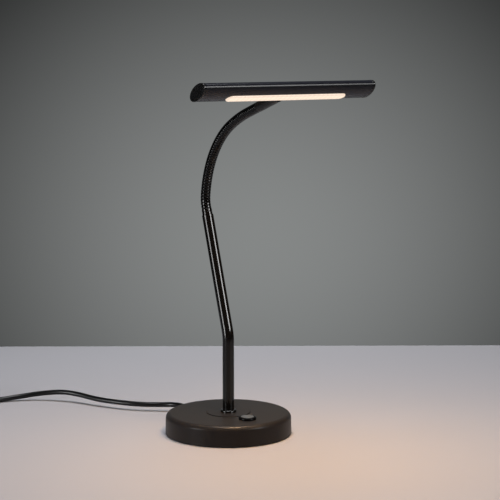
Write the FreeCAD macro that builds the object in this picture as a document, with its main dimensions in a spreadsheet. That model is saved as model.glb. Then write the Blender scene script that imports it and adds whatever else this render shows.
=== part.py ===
"""Piano lamp: round weighted base, bent stem, gooseneck and a flat oval LED head.

Lengths are millimetres and angles are degrees. The origin is the centre of the foot pad's
underside, +Z is up, the head runs along X and reaches forward, towards -Y, and the mains cord
leaves the base at the back, towards +Y.
"""

import FreeCAD, Part
import math
import os
import re
import Sketcher

SIZES = {
    # base cover: a drawn shell, slightly wider at its foot, with a round recess for the stem plate
    "base_radius": 67.5,
    "base_height": 22.5,
    "base_edge_radius": 5.5,
    "cover_draft": 0.45,
    "cover_wall": 1.5,
    "cover_lift": 0.6,
    # what closes the base below
    "pad_thick": 1.5,
    "pad_inset": 1.6,
    "bottom_thick": 1.5,
    "bottom_gap": 0.3,
    "screw_inset": 9.5,
    "screw_radius": 1.9,
    "screw_head_radius": 3.6,
    "screw_length": 8.0,
    # stem plate, let into the cover and a little proud of it
    "plate_radius": 23.0,
    "plate_thick": 1.5,
    "plate_rise": 0.45,
    "plate_edge": 0.3,
    "plate_gap": 0.45,
    # ballast
    "ballast_gap": 0.8,
    "hub_radius": 17.0,
    "nut_pocket_radius": 11.5,
    "nut_pocket_depth": 9.0,
    "channel_half_width": 5.2,
    "channel_depth": 3.8,
    # threaded nipple, washer and nut that hold the stem
    "thread_gap": 0.05,
    "nipple_bore_radius": 3.2,
    "nipple_in_tube": 14.0,
    "nipple_drop": 5.2,
    "washer_radius": 9.0,
    "washer_thick": 1.0,
    "nut_flat_radius": 7.5,
    "nut_thick": 4.0,
    # stem
    "tube_radius": 6.2,
    "tube_wall": 1.0,
    "stem_bend_height": 98.0,
    "stem_bend_radius": 45.0,
    "stem_lean": 18.8,
    "stem_slant": 125.0,
    "collar_radius": 8.5,
    "collar_height": 2.6,
    "collar_edge": 1.2,
    # ferrule between stem and gooseneck
    "ferrule_length": 6.5,
    "ferrule_spigot": 10.0,
    "bead_radius": 5.55,
    # gooseneck: its line is three arcs and a straight, from the ferrule's cup to the head's sleeve
    "neck_radius": 5.3,
    "neck_bore_radius": 2.15,
    "neck_length": 170.0,
    "neck_bend_one": 27.5,
    "neck_turn_one": 25.3,
    "neck_bend_two": 102.2,
    "neck_turn_two": 54.9,
    "neck_bend_three": 193.0,
    "neck_turn_three": 10.8,
    "rib_pitch": 3.25,
    "rib_depth": 0.3,
    "cup_gap": 0.3,
    "cup_rim": 2.8,
    # sleeve that carries the head
    "sleeve_radius": 5.5,
    "sleeve_reach": 36.05,
    "sleeve_edge": 0.6,
    "tip_spigot_radius": 3.2,
    "tip_spigot": 7.0,
    "sleeve_stud_radius": 2.4,
    "sleeve_stud_bore": 1.3,
    # head: an oval profile along X, its front edge turned up
    "head_tilt": 24.9,
    "head_length": 200.6,
    "head_half_width": 15.12,
    "head_half_thick": 7.35,
    "head_wall": 1.4,
    "cap_thick": 2.8,
    "cap_overhang": 0.15,
    "cap_edge": 0.7,
    "cap_plug": 6.0,
    "cap_plug_wall": 1.4,
    "slide_gap": 0.12,
    "block_half_width": 9.0,
    "block_front": 8.6,
    "block_depth": 4.6,
    # light: carrier, board, chips and diffuser
    "carrier_drop": 0.6,
    "carrier_thick": 1.6,
    "carrier_gap": 2.2,
    "board_inset": 2.5,
    "board_half_width": 4.75,
    "board_thick": 1.0,
    "board_hole_radius": 1.1,
    "chip_pitch": 5.4,
    "chip_long": 3.5,
    "chip_wide": 2.8,
    "chip_high": 0.7,
    "window_margin": 30.8,
    "window_half_width": 5.6,
    "window_gap": 0.12,
    "diffuser_proud": 1.2,
    "diffuser_edge": 0.9,
    "diffuser_flange": 2.2,
    "diffuser_flange_thick": 1.6,
    # push button in front of the stem
    "button_reach": 38.85,
    "bezel_radius": 9.2,
    "bezel_height": 3.0,
    "bezel_edge": 1.4,
    "bezel_neck_radius": 7.9,
    "bezel_neck_depth": 5.5,
    "bezel_hole_gap": 0.1,
    "button_radius": 6.7,
    "button_gap": 0.3,
    "button_rise": 0.3,
    "button_lip": 0.75,
    "button_lip_thick": 1.2,
    "button_travel": 1.0,
    "bezel_nut_radius": 10.8,
    "bezel_nut_thick": 2.5,
    "switch_hole_radius": 12.0,
    "switch_radius": 10.5,
    "switch_height": 7.0,
    "switch_wall": 1.5,
    "dimmer_thick": 1.6,
    "dimmer_seat": 3.0,
    "push_half_width": 3.0,
    "push_height": 3.4,
    "plunger_radius": 1.7,
    "plunger_height": 0.8,
    "spring_radius": 5.5,
    "spring_wire": 0.35,
    "spring_turns": 5.0,
    # electronics behind the hub
    "window_x": 27.0,
    "window_front": 19.0,
    "window_inset": 14.5,
    "driver_gap": 1.5,
    "driver_height": 15.5,
    "driver_wall": 1.2,
    "driver_board_rise": 2.0,
    # cord, relief and clamp
    "cord_radius": 2.9,
    "cord_height": 9.5,
    "cord_gap": 0.05,
    "relief_length": 22.0,
    "relief_flange_radius": 5.5,
    "relief_neck_radius": 4.0,
    "relief_collar_radius": 5.3,
    "relief_collar_length": 1.6,
    "relief_root_radius": 4.6,
    "relief_end_radius": 3.5,
    "clamp_half_length": 11.0,
    "clamp_width": 5.0,
    "clamp_thick": 2.0,
    "clamp_screw_x": 7.5,
    "clamp_screw_radius": 1.4,
    "clamp_head_radius": 2.6,
    "clamp_head_thick": 1.8,
    "ballast_tap": 6.0,
    "lead_radius": 1.2,
    "lead_bend": 2.4,
    "switch_lead_radius": 1.0,
    "switch_lead_offset": 3.6,
    # coil of put-away cord, and the plug beside it
    "coil_x": -185.0,
    "coil_y": 307.2,
    "coil_mean_radius": 33.7,
    "coil_half_width": 13.3,
    "coil_height": 11.6,
    "coil_edge": 2.8,
    "plug_length": 37.0,
    "plug_width": 14.0,
    "plug_nose_width": 26.0,
    "plug_thick": 13.0,
    "pin_radius": 2.0,
    "pin_length": 19.0,
    "pin_spacing": 18.6,
}

LINKS = 7
SCREW_ANGLES = (30.0, 150.0, 270.0)

# The mains cord's route from the strain relief to the coil. Its points are x, y and z of the
# cord's middle; the first is the relief's mouth and the last lies where the outer turn begins.
CORD_ROUTE = [
    (0.0, 89.5, 9.5),
    (0.0, 102.0, 9.5),
    (-4.5, 114.7, 8.6),
    (-13.2, 125.0, 7.5),
    (-32.4, 138.4, 7.4),
    (-48.5, 157.5, 7.8),
    (-63.6, 184.5, 7.8),
    (-74.9, 210.6, 10.3),
    (-87.0, 229.9, 11.4),
    (-107.1, 248.3, 8.3),
    (-127.7, 258.4, 5.0),
    (-150.3, 263.2, 3.0),
    (-185.0, 263.2, 3.0),
]

# The tail from the coil to the plug that lies beside it.
TAIL_ROUTE = [
    (-227.7, 303.0, 5.8),
    (-228.3, 322.0, 5.9),
    (-230.5, 341.0, 6.2),
    (-233.0, 360.0, 6.5),
    (-235.5, 377.0, 6.5),
]

doc = FreeCAD.newDocument("PianoLamp")
sheet = doc.addObject("Spreadsheet::Sheet", "Sizes")
SUBPARTS = []


def fill_sheet():
    """Write each driving dimension in the sheet as a plain number with an alias."""
    for row, (alias, number) in enumerate(SIZES.items(), 1):
        sheet.set(f"A{row}", alias)
        sheet.set(f"B{row}", str(number))
        sheet.setAlias(f"B{row}", alias)
    doc.recompute()


fill_sheet()


def bound(expression):
    """The expression with every size's name pointing at its cell of the sheet."""
    return re.sub(r"[a-z_]+", lambda m: f"Sizes.{m[0]}" if m[0] in SIZES else m[0], expression)


def number(expression):
    """The value of an expression of sizes."""
    return float(sheet.evalExpression(expression))


def bind(obj, **expressions):
    """Bind properties of an object to expressions of sizes."""
    for name, expression in expressions.items():
        obj.setExpression(name, bound(expression))
    return obj


def place(obj, x="0", y="0", z="0"):
    """Bind the object's position to three expressions of sizes."""
    for axis, expression in zip("xyz", (x, y, z)):
        obj.setExpression(f"Placement.Base.{axis}", bound(expression))
    return obj


def cylinder(name, radius, height, x="0", y="0", z="0", turned=None):
    """An upright cylinder that stands at a point; turned is a rotation for one that lies."""
    obj = bind(doc.addObject("Part::Cylinder", name), Radius=radius, Height=height)
    if turned:
        obj.Placement.Rotation = turned
    return place(obj, x, y, z)


def cone(name, low_radius, high_radius, height, x="0", y="0", z="0", turned=None):
    """An upright cone frustum that stands at a point; turned is a rotation for one that lies."""
    obj = doc.addObject("Part::Cone", name)
    bind(obj, Radius1=low_radius, Radius2=high_radius, Height=height)
    if turned:
        obj.Placement.Rotation = turned
    return place(obj, x, y, z)


def box(name, length, width, height, x, y, z):
    """A box from its lowest corner."""
    obj = bind(doc.addObject("Part::Box", name), Length=length, Width=width, Height=height)
    return place(obj, x, y, z)


def centred_box(name, half_x, y_low, y_high, z_low, z_high):
    """A box centred on x = 0 between two depths and two heights."""
    size_y = f"({y_high}) - ({y_low})"
    size_z = f"({z_high}) - ({z_low})"
    return box(name, f"2 * ({half_x})", size_y, size_z, f"-({half_x})", y_low, z_low)


def oval(name, half_width, half_thick, length, x_low):
    """An oval bar along X in the head's own frame: wide along Y and thin along Z."""
    ring = bind(doc.addObject("Part::Ellipse", name + "_ring"))
    bind(ring, MajorRadius=half_width, MinorRadius=half_thick)
    ring.Placement = FreeCAD.Placement(FreeCAD.Vector(), FreeCAD.Rotation(120, 0, 0))
    ring.Placement.Rotation = FreeCAD.Rotation(FreeCAD.Vector(1, 1, 1), 120)
    bar = doc.addObject("Part::Extrusion", name)
    bar.Base = ring
    bar.DirMode = "Custom"
    bar.Dir = FreeCAD.Vector(1, 0, 0)
    bar.Solid = True
    bind(bar, LengthFwd=length)
    return place(bar, x_low)


def stadium(name, length, half_width, z_low, height):
    """A bar with round ends, centred on the origin, long along X."""
    straight = f"({length}) - 2 * ({half_width})"
    middle = box(name + "_middle", straight, f"2 * ({half_width})", height,
                 f"-({straight}) / 2", f"-({half_width})", z_low)
    left = cylinder(name + "_left", half_width, height, f"-({straight}) / 2", "0", z_low)
    right = cylinder(name + "_right", half_width, height, f"({straight}) / 2", "0", z_low)
    return fuse(name, middle, left, right)


def cut(name, base, *tools):
    """The base with the tools taken away."""
    result = doc.addObject("Part::Cut", name)
    result.Base = base
    result.Tool = tools[0] if len(tools) == 1 else fuse(name + "_tools", *tools)
    return result


def fuse(name, *shapes):
    """Several shapes as one solid."""
    result = doc.addObject("Part::MultiFuse", name)
    result.Shapes = list(shapes)
    result.Refine = True
    return result


def common(name, first, second):
    """What two shapes share."""
    result = doc.addObject("Part::Common", name)
    result.Base = first
    result.Tool = second
    return result


def round_edges(name, base, radius, wanted):
    """Round the edges of a shape that a test picks, by a radius of the sheet."""
    doc.recompute()
    value = number(radius)
    picked = [(i, value, value) for i, edge in enumerate(base.Shape.Edges, 1) if wanted(edge)]
    result = doc.addObject("Part::Fillet", name)
    result.Base = base
    result.Edges = picked
    return result


def flat_ring_at(height):
    """A test for whole edges that lie at one height."""
    value = number(height)

    def lies_there(edge):
        limits = edge.BoundBox
        return abs(limits.ZMin - value) < 1e-4 and abs(limits.ZMax - value) < 1e-4

    return lies_there


def hold(obj, label):
    """Keep an object as a sub-part under its own label."""
    obj.Label = label
    SUBPARTS.append(obj)
    return obj


def hold_shape(shape, label, placement=None):
    """Keep a shape made by Part's own functions as a sub-part."""
    obj = doc.addObject("Part::Feature", label)
    obj.Shape = shape
    if placement:
        obj.Placement = placement
    return hold(obj, label)


def revolved_body(name, outline):
    """A PartDesign body turned about Z from a closed outline of (radius, height) expressions."""
    body = doc.addObject("PartDesign::Body", name)
    sketch = body.newObject("Sketcher::SketchObject", name + "_profile")
    plane = next(f for f in body.Origin.OriginFeatures if f.Role == "XZ_Plane")
    sketch.AttachmentSupport = [(plane, "")]
    sketch.MapMode = "FlatFace"
    points = [FreeCAD.Vector(number(x), number(z), 0) for x, z in outline]
    count = len(points)
    for i in range(count):
        sketch.addGeometry(Part.LineSegment(points[i], points[(i + 1) % count]), False)
    for i in range(count):
        sketch.addConstraint(Sketcher.Constraint("Coincident", i, 2, (i + 1) % count, 1))
    for i, (x, z) in enumerate(outline):
        for kind, expression, axis in (("DistanceX", x, -2), ("DistanceY", z, -1)):
            if expression == "0":
                sketch.addConstraint(Sketcher.Constraint("PointOnObject", i, 1, axis))
                continue
            distance = Sketcher.Constraint(kind, -1, 1, i, 1, number(expression))
            index = sketch.addConstraint(distance)
            sketch.setExpression(f"Constraints[{index}]", bound(expression))
    turn = body.newObject("PartDesign::Revolution", name + "_turn")
    turn.Profile = (sketch, [""])
    turn.ReferenceAxis = (sketch, ["V_Axis"])
    turn.Angle = 360
    sketch.Visibility = False
    body.Tip = turn
    return body


# ---------------------------------------------------------------- the line of stem and neck


STEM_FOOT = "base_height + plate_rise"


def arm_stretches():
    """The arm's line from the foot of the stem: (length, turn) pairs, turns forward positive."""
    arcs = [(number(f"neck_bend_{n}"), number(f"neck_turn_{n}")) for n in ("one", "two", "three")]
    lengths = [(radius * math.radians(turn), turn) for radius, turn in arcs]
    bend = number("stem_bend_radius") * math.radians(number("stem_lean"))
    curved = sum(length for length, _ in lengths)
    return [
        (number(f"stem_bend_height - ({STEM_FOOT})"), 0.0),
        (bend, -number("stem_lean")),
        (number("stem_slant + ferrule_length + cup_rim"), 0.0),
        *lengths,
        (number("neck_length + sleeve_reach") - curved, 0.0),
    ]


def arm_station(travel):
    """Where the arm's line is after some travel: (y, z, heading), heading forward of upright."""
    y, z, heading = 0.0, number(STEM_FOOT), 0.0
    for length, turn in arm_stretches():
        step = min(max(travel, 0.0), length)
        swept = math.radians(turn) * step / length
        half = math.radians(heading) + swept / 2
        chord = step if abs(swept) < 1e-9 else 2 * (step / swept) * math.sin(swept / 2)
        y -= chord * math.sin(half)
        z += chord * math.cos(half)
        heading += math.degrees(swept)
        travel -= length
    return y, z, heading


def along(y, z, heading):
    """A placement whose Z axis leans forward by the heading."""
    return FreeCAD.Placement(FreeCAD.Vector(0, y, z), FreeCAD.Rotation(FreeCAD.Vector(1, 0, 0), heading))


TUBE_TRAVEL = sum(length for length, _ in arm_stretches()[:2]) + number("stem_slant")
NECK_TRAVEL = TUBE_TRAVEL + number("ferrule_length + cup_rim")
PITCH = number("neck_length") / (LINKS + 1)
HINGES = [arm_station(NECK_TRAVEL + (i + 0.5) * PITCH) for i in range(LINKS + 1)]
NECK_START = arm_station(NECK_TRAVEL)
NECK_END = arm_station(NECK_TRAVEL + number("neck_length"))
HEAD_BACK = arm_station(NECK_TRAVEL + number("neck_length + sleeve_reach"))


BALL_RADIUS = "neck_radius - rib_depth"
BALL_CROWN = math.sqrt(number(BALL_RADIUS) ** 2 - number("neck_bore_radius") ** 2)


def span(first, second):
    """The placement at one station that looks along the straight to another, and the length."""
    across, up = first[0] - second[0], second[1] - first[1]
    return along(first[0], first[1], math.degrees(math.atan2(across, up))), math.hypot(across, up)


def turned_solid(edges):
    """A solid turned about Z from the edges of a closed outline in the XZ plane."""
    face = Part.Face(Part.Wire(edges))
    return face.revolve(FreeCAD.Vector(), FreeCAD.Vector(0, 0, 1), 360)


def at(radius, height):
    """A point of an outline in the XZ plane."""
    return FreeCAD.Vector(radius, 0, height)


def line(first, second):
    """A straight edge between two (radius, height) points."""
    return Part.LineSegment(at(*first), at(*second)).toShape()


def arc(first, middle, last):
    """A round edge through three (radius, height) points."""
    return Part.Arc(at(*first), at(*middle), at(*last)).toShape()


def ribbed_side(radius, depth, low, high, pitch):
    """The outside of a wound stretch: one round rib for each turn of the winding."""
    count = max(1, round((high - low) / pitch))
    step = (high - low) / count
    root = radius - depth
    ribs = []
    for i in range(count):
        start = low + i * step
        ribs.append(arc((root, start), (radius, start + step / 2), (root, start + step)))
    return ribs


def ball_end(radius, bore, centre):
    """The edges of a ball end on top of a bored piece, from its side to its bore."""
    slope = math.radians(45)
    middle = (radius * math.cos(slope), centre + radius * math.sin(slope))
    crown = centre + math.sqrt(radius**2 - bore**2)
    return [arc((radius, centre), middle, (bore, crown))], crown


def make_link(length, ball_below=False, plain_top=None):
    """A neck piece on its own axis: a cup (or a ball) round z = 0 and a ball round z = length.

    plain_top, if given, is the (radius, length) of a spigot that takes the upper ball's place.
    """
    radius, bore = number("neck_radius"), number("neck_bore_radius")
    depth, pitch = number("rib_depth"), number("rib_pitch")
    root = radius - depth
    low = 0.0 if ball_below else number("cup_rim")
    edges = ribbed_side(radius, depth, low, length, pitch)
    if plain_top:
        spigot, reach = plain_top
        crown = length + reach
        edges += [line((root, length), (spigot, length)), line((spigot, length), (spigot, crown)),
                  line((spigot, crown), (bore, crown))]
    else:
        cap, crown = ball_end(root, bore, length)
        edges += cap
    if ball_below:
        foot = -math.sqrt(root**2 - bore**2)
        slope = math.radians(45)
        middle = (root * math.cos(slope), -root * math.sin(slope))
        edges += [line((bore, crown), (bore, foot)), arc((bore, foot), middle, (root, 0))]
    else:
        edges += [line((bore, crown), (bore, low)), line((bore, low), (root, low))]
    solid = turned_solid(edges)
    if ball_below:
        return solid
    return solid.cut(Part.makeSphere(root + number("cup_gap")))


def swept(points, radius, bends, label):
    """A round rod of straight runs joined by arcs of the given bend radii."""
    wire, _ = rounded_wire(points, bends)
    return hold_shape(rod_along(wire, radius), label)


def rod_along(wire, radius):
    """A round rod along a smooth wire."""
    start = wire.Edges[0]
    direction = start.tangentAt(start.FirstParameter)
    origin = start.valueAt(start.FirstParameter)
    ring = Part.Wire([Part.Circle(origin, direction, radius).toShape()])
    return wire.makePipeShell([ring], True, False)


def rounded_wire(points, radii):
    """Straight runs through the points, joined at each inner point by a tangent arc."""
    corners = [FreeCAD.Vector(*p) for p in points]
    edges, last = [], corners[0]
    for i in range(1, len(corners) - 1):
        back = (corners[i - 1] - corners[i]).normalize()
        ahead = (corners[i + 1] - corners[i]).normalize()
        turn = math.pi - back.getAngle(ahead)
        reach = radii[i - 1] * math.tan(turn / 2)
        first, second = corners[i] + back * reach, corners[i] + ahead * reach
        inward = (back + ahead).normalize()
        middle = corners[i] + inward * (radii[i - 1] / math.cos(turn / 2) - radii[i - 1])
        edges.append(Part.LineSegment(last, first).toShape())
        edges.append(Part.Arc(first, middle, second).toShape())
        last = second
    edges.append(Part.LineSegment(last, corners[-1]).toShape())
    wire = Part.Wire(edges)
    return wire, wire.Length


def cord_radii(points):
    """The largest arc that each inner point's runs allow: 0.45 of the shorter run."""
    corners = [FreeCAD.Vector(*p) for p in points]
    radii = []
    for i in range(1, len(corners) - 1):
        before, after = corners[i] - corners[i - 1], corners[i + 1] - corners[i]
        turn = before.getAngle(after)
        radii.append(0.45 * min(before.Length, after.Length) / math.tan(turn / 2))
    return radii


# ---------------------------------------------------------------- base

FLOOR_UNDER = "pad_thick + bottom_thick"
SCREW_CIRCLE = "(base_radius - screw_inset)"
WINDOW_BACK = "(base_radius - window_inset)"
BALLAST_TOP = "cord_height + cord_radius"
RECESS_FLOOR = "base_height - plate_thick"
HUB_TOP = "base_height - plate_thick - cover_wall"
NIPPLE_RADIUS = "tube_radius - tube_wall - thread_gap"
NIPPLE_HOLE = "tube_radius - tube_wall"
POCKET_TOP = f"{FLOOR_UNDER} + nut_pocket_depth"
LYING_BACK = FreeCAD.Rotation(FreeCAD.Vector(1, 0, 0), -90)


def make_base_cover():
    """Drawn shell: side wall, rolled top edge, flat top and the recess round the stem."""
    recess = "plate_radius + plate_gap"
    outline = [
        (NIPPLE_HOLE, RECESS_FLOOR),
        (recess, RECESS_FLOOR),
        (recess, "base_height"),
        ("base_radius - cover_draft", "base_height"),
        ("base_radius", "cover_lift"),
        ("base_radius - cover_wall", "cover_lift"),
        ("base_radius - cover_draft - cover_wall", "base_height - cover_wall"),
        (f"{recess} + cover_wall", "base_height - cover_wall"),
        (f"{recess} + cover_wall", HUB_TOP),
        (NIPPLE_HOLE, HUB_TOP),
    ]
    blank = revolved_body("CoverBlank", outline)
    doc.recompute()

    def edge_names(height, radius):
        level = flat_ring_at(height)
        return [f"Edge{i}" for i, e in enumerate(blank.Shape.Edges, 1)
                if level(e) and math.isclose(e.BoundBox.XLength / 2, radius, rel_tol=1e-5)]

    turn = blank.Tip
    inside = blank.newObject("PartDesign::Fillet", "CoverInnerEdge")
    inner_radius = number("base_radius - cover_draft - cover_wall")
    inside.Base = (turn, edge_names("base_height - cover_wall", inner_radius))
    bind(inside, Radius="base_edge_radius - cover_wall")
    blank.Tip = inside
    doc.recompute()
    outside = blank.newObject("PartDesign::Fillet", "CoverEdge")
    outer_radius = number("base_radius - cover_draft")
    outside.Base = (inside, edge_names("base_height", outer_radius))
    bind(outside, Radius="base_edge_radius")
    blank.Tip = outside
    button_hole = cylinder("ButtonHole", "bezel_neck_radius + bezel_hole_gap", "2 * cover_wall",
                           "0", "-button_reach", "base_height - 1.5 * cover_wall")
    cord_hole = cylinder("CordHole", "relief_neck_radius + bezel_hole_gap", "4 * cover_wall",
                         "0", "base_radius - 2.5 * cover_wall", "cord_height", LYING_BACK)
    hold(cut("CoverWithHoles", blank, button_hole, cord_hole), "base_cover")


def make_bottom():
    """Foot pad, bottom plate with countersunk holes, and its three screws."""
    pad_radius = "base_radius - cover_wall - pad_inset"
    hold(cylinder("FootPad", pad_radius, "pad_thick"), "foot_pad")
    plate = cylinder("PlateBlank", "base_radius - cover_wall - bottom_gap", "bottom_thick",
                     z="pad_thick")
    holes, screws = [], []
    for i, angle in enumerate(SCREW_ANGLES):
        x = f"{SCREW_CIRCLE} * cos({angle})"
        y = f"{SCREW_CIRCLE} * sin({angle})"
        holes.append(cone(f"Countersink{i}", "screw_head_radius", "screw_radius",
                          "bottom_thick", x, y, "pad_thick"))
        head = cone(f"ScrewHead{i}", "screw_head_radius", "screw_radius", "bottom_thick",
                    x, y, "pad_thick")
        shank = cylinder(f"ScrewShank{i}", "screw_radius", "screw_length", x, y, "pad_thick")
        screws.append(fuse(f"Screw{i}", head, shank))
    hold(cut("BottomPlate", plate, *holes), "bottom_plate")
    group = doc.addObject("Part::Compound", "BottomScrews")
    group.Links = screws
    hold(group, "bottom_screws")


def make_ballast():
    """Cast disc with a hub under the stem, a nut pocket, a lead channel and room for the rest."""
    radius = "base_radius - cover_draft - cover_wall - ballast_gap"
    disc = cylinder("BallastDisc", radius, f"{BALLAST_TOP} - ({FLOOR_UNDER})", z=FLOOR_UNDER)
    hub = cylinder("BallastHub", "hub_radius", f"{HUB_TOP} - ({FLOOR_UNDER})", z=FLOOR_UNDER)
    pocket = cylinder("NutPocket", "nut_pocket_radius", "nut_pocket_depth", z=FLOOR_UNDER)
    bore = cylinder("HubBore", NIPPLE_HOLE, "base_height", z=FLOOR_UNDER)
    channel = centred_box("LeadChannel", "channel_half_width", "-button_reach", "window_front",
                          FLOOR_UNDER, f"{FLOOR_UNDER} + channel_depth")
    window = centred_box("DriverRoom", "window_x", "window_front", WINDOW_BACK,
                         FLOOR_UNDER, "base_height")
    switch_room = cylinder("SwitchRoom", "switch_hole_radius", "base_height",
                           y="-button_reach", z=FLOOR_UNDER)
    slot = centred_box("CordSlot", "cord_radius + slide_gap", WINDOW_BACK, "base_radius",
                       "cord_height - cord_radius - cord_gap", "base_height")
    relief_room = centred_box("ReliefRoom", "relief_flange_radius + bottom_gap",
                              "base_radius - 3.4 * cover_wall", "base_radius",
                              FLOOR_UNDER, "base_height")
    tools = [pocket, bore, channel, window, switch_room, slot, relief_room]
    for i, angle in enumerate(SCREW_ANGLES):
        tools.append(cylinder(f"BallastTap{i}", "screw_radius + thread_gap",
                              "screw_length - bottom_thick + cover_lift",
                              f"{SCREW_CIRCLE} * cos({angle})", f"{SCREW_CIRCLE} * sin({angle})",
                              FLOOR_UNDER))
    for side in (-1, 1):
        tools.append(cylinder(f"ClampTap{side + 1}", "clamp_screw_radius + thread_gap",
                              "ballast_tap", f"{side} * clamp_screw_x",
                              f"{WINDOW_BACK} + clamp_width / 2 + driver_gap",
                              f"{BALLAST_TOP} - ballast_tap"))
    hold(cut("Ballast", fuse("BallastBlank", disc, hub), *tools), "ballast_disc")


def make_stem_fixing():
    """Stem plate, nipple, washer and nut: what clamps the stem, the cover and the ballast."""
    blank = cylinder("StemPlateBlank", "plate_radius", "plate_thick + plate_rise", z=RECESS_FLOOR)
    rounded = round_edges("StemPlateRound", blank, "plate_edge", flat_ring_at(STEM_FOOT))
    hole = cylinder("StemPlateHole", NIPPLE_HOLE, "2 * plate_thick + 2 * plate_rise", z=HUB_TOP)
    hold(cut("StemPlate", rounded, hole), "stem_plate")

    low = f"{POCKET_TOP} - nipple_drop"
    height = f"base_height + nipple_in_tube - ({low})"
    rod = cylinder("NippleRod", NIPPLE_RADIUS, height, z=low)
    bore = cylinder("NippleBore", "nipple_bore_radius", height, z=low)
    hold(cut("StemNipple", rod, bore), "stem_nipple")

    washer = cylinder("WasherBlank", "washer_radius", "washer_thick",
                      z=f"{POCKET_TOP} - washer_thick")
    washer_hole = cylinder("WasherHole", NIPPLE_HOLE, "washer_thick",
                           z=f"{POCKET_TOP} - washer_thick")
    hold(cut("LockWasher", washer, washer_hole), "lock_washer")

    nut_low = f"{POCKET_TOP} - washer_thick - nut_thick"
    prism = doc.addObject("Part::Prism", "NutPrism")
    prism.Polygon = 6
    place(bind(prism, Circumradius="nut_flat_radius / cos(30)", Height="nut_thick"), z=nut_low)
    nut_hole = cylinder("NutHole", NIPPLE_HOLE, "nut_thick", z=nut_low)
    hold(cut("StemNut", prism, nut_hole), "stem_nut")


def make_button():
    """Bezel, nut, cap, spring and the switch and dimmer board below them."""
    y = "-button_reach"
    bore = "button_radius + button_gap"
    neck_low = "base_height - bezel_neck_depth"
    collar = cylinder("BezelCollar", "bezel_radius", "bezel_height", "0", y, "base_height")
    rounded = round_edges("BezelRound", collar, "bezel_edge",
                          flat_ring_at("base_height + bezel_height"))
    neck = cylinder("BezelNeck", "bezel_neck_radius", "bezel_neck_depth", "0", y, neck_low)
    opening = cylinder("BezelBore", bore, "base_height", "0", y, neck_low)
    hold(cut("ButtonBezel", fuse("BezelBlank", rounded, neck), opening), "button_bezel")

    nut_low = "base_height - cover_wall - bezel_nut_thick"
    ring = cylinder("BezelNutBlank", "bezel_nut_radius", "bezel_nut_thick", "0", y, nut_low)
    ring_hole = cylinder("BezelNutHole", "bezel_neck_radius + thread_gap", "bezel_nut_thick",
                         "0", y, nut_low)
    hold(cut("BezelNut", ring, ring_hole), "bezel_nut")

    lip_top = f"{neck_low} - button_gap"
    lip_low = f"{lip_top} - button_lip_thick"
    crown = "base_height + bezel_height + button_rise"
    body = cylinder("ButtonBody", "button_radius", f"{crown} - ({lip_low})", "0", y, lip_low)
    soft = round_edges("ButtonRound", body, "button_lip / 2", flat_ring_at(crown))
    lip = cylinder("ButtonLip", "button_radius + button_lip", "button_lip_thick",
                   "0", y, lip_low)
    board_top = f"{FLOOR_UNDER} + dimmer_seat + dimmer_thick"
    push_top = f"{board_top} + push_height + plunger_height"
    hollow = cylinder("ButtonHollow", "button_radius - cover_wall",
                      f"{crown} - ({lip_low}) - 2 * cover_wall", "0", y, lip_low)
    post_low = f"{push_top} + button_travel + button_gap"
    post = cylinder("ButtonPost", "plunger_radius", f"{crown} - cover_wall - ({post_low})",
                    "0", y, post_low)
    shell = cut("ButtonShell", fuse("ButtonBlank", soft, lip), hollow)
    hold(fuse("ButtonCap", shell, post), "button_cap")

    make_spring(number(board_top), number(lip_low))

    housing = cylinder("SwitchCup", "switch_radius", "switch_height", "0", y, FLOOR_UNDER)
    cup = cylinder("SwitchCupHollow", "switch_radius - switch_wall", "switch_height", "0", y,
                   f"{FLOOR_UNDER} + dimmer_seat")
    well = cylinder("SwitchCupWell", "switch_radius - 2 * switch_wall", "switch_height", "0", y,
                    f"{FLOOR_UNDER} + switch_wall")
    hold(cut("SwitchHousing", housing, cup, well), "switch_housing")
    hold(cylinder("DimmerBoard", "switch_radius - switch_wall - slide_gap", "dimmer_thick",
                  "0", y, f"{FLOOR_UNDER} + dimmer_seat"), "dimmer_board")
    case = box("PushCase", "2 * push_half_width", "2 * push_half_width", "push_height",
               "-push_half_width", "-button_reach - push_half_width", board_top)
    plunger = cylinder("PushPlunger", "plunger_radius", "plunger_height", "0", y,
                       f"{board_top} + push_height")
    hold(fuse("PushSwitch", case, plunger), "push_switch")


def make_spring(low, high):
    """The coil spring that lifts the button: half-turn arcs that climb in turn to each side."""
    wire, radius = number("spring_wire"), number("spring_radius")
    count = 2 * int(number("spring_turns"))
    step = (high - low - 2 * wire - 2 * number("thread_gap")) / count
    edges = []
    for i in range(count):
        side = 1 if i % 2 == 0 else -1
        start = FreeCAD.Vector(side * radius, 0, i * step)
        middle = FreeCAD.Vector(0, side * math.hypot(radius, step / 2), (i + 0.5) * step)
        end = FreeCAD.Vector(-side * radius, 0, (i + 1) * step)
        edges.append(Part.Arc(start, middle, end).toShape())
    base = FreeCAD.Vector(0, -number("button_reach"), low + wire + number("thread_gap"))
    hold_shape(rod_along(Part.Wire(edges), wire), "button_spring",
               FreeCAD.Placement(base, FreeCAD.Rotation()))


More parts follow.
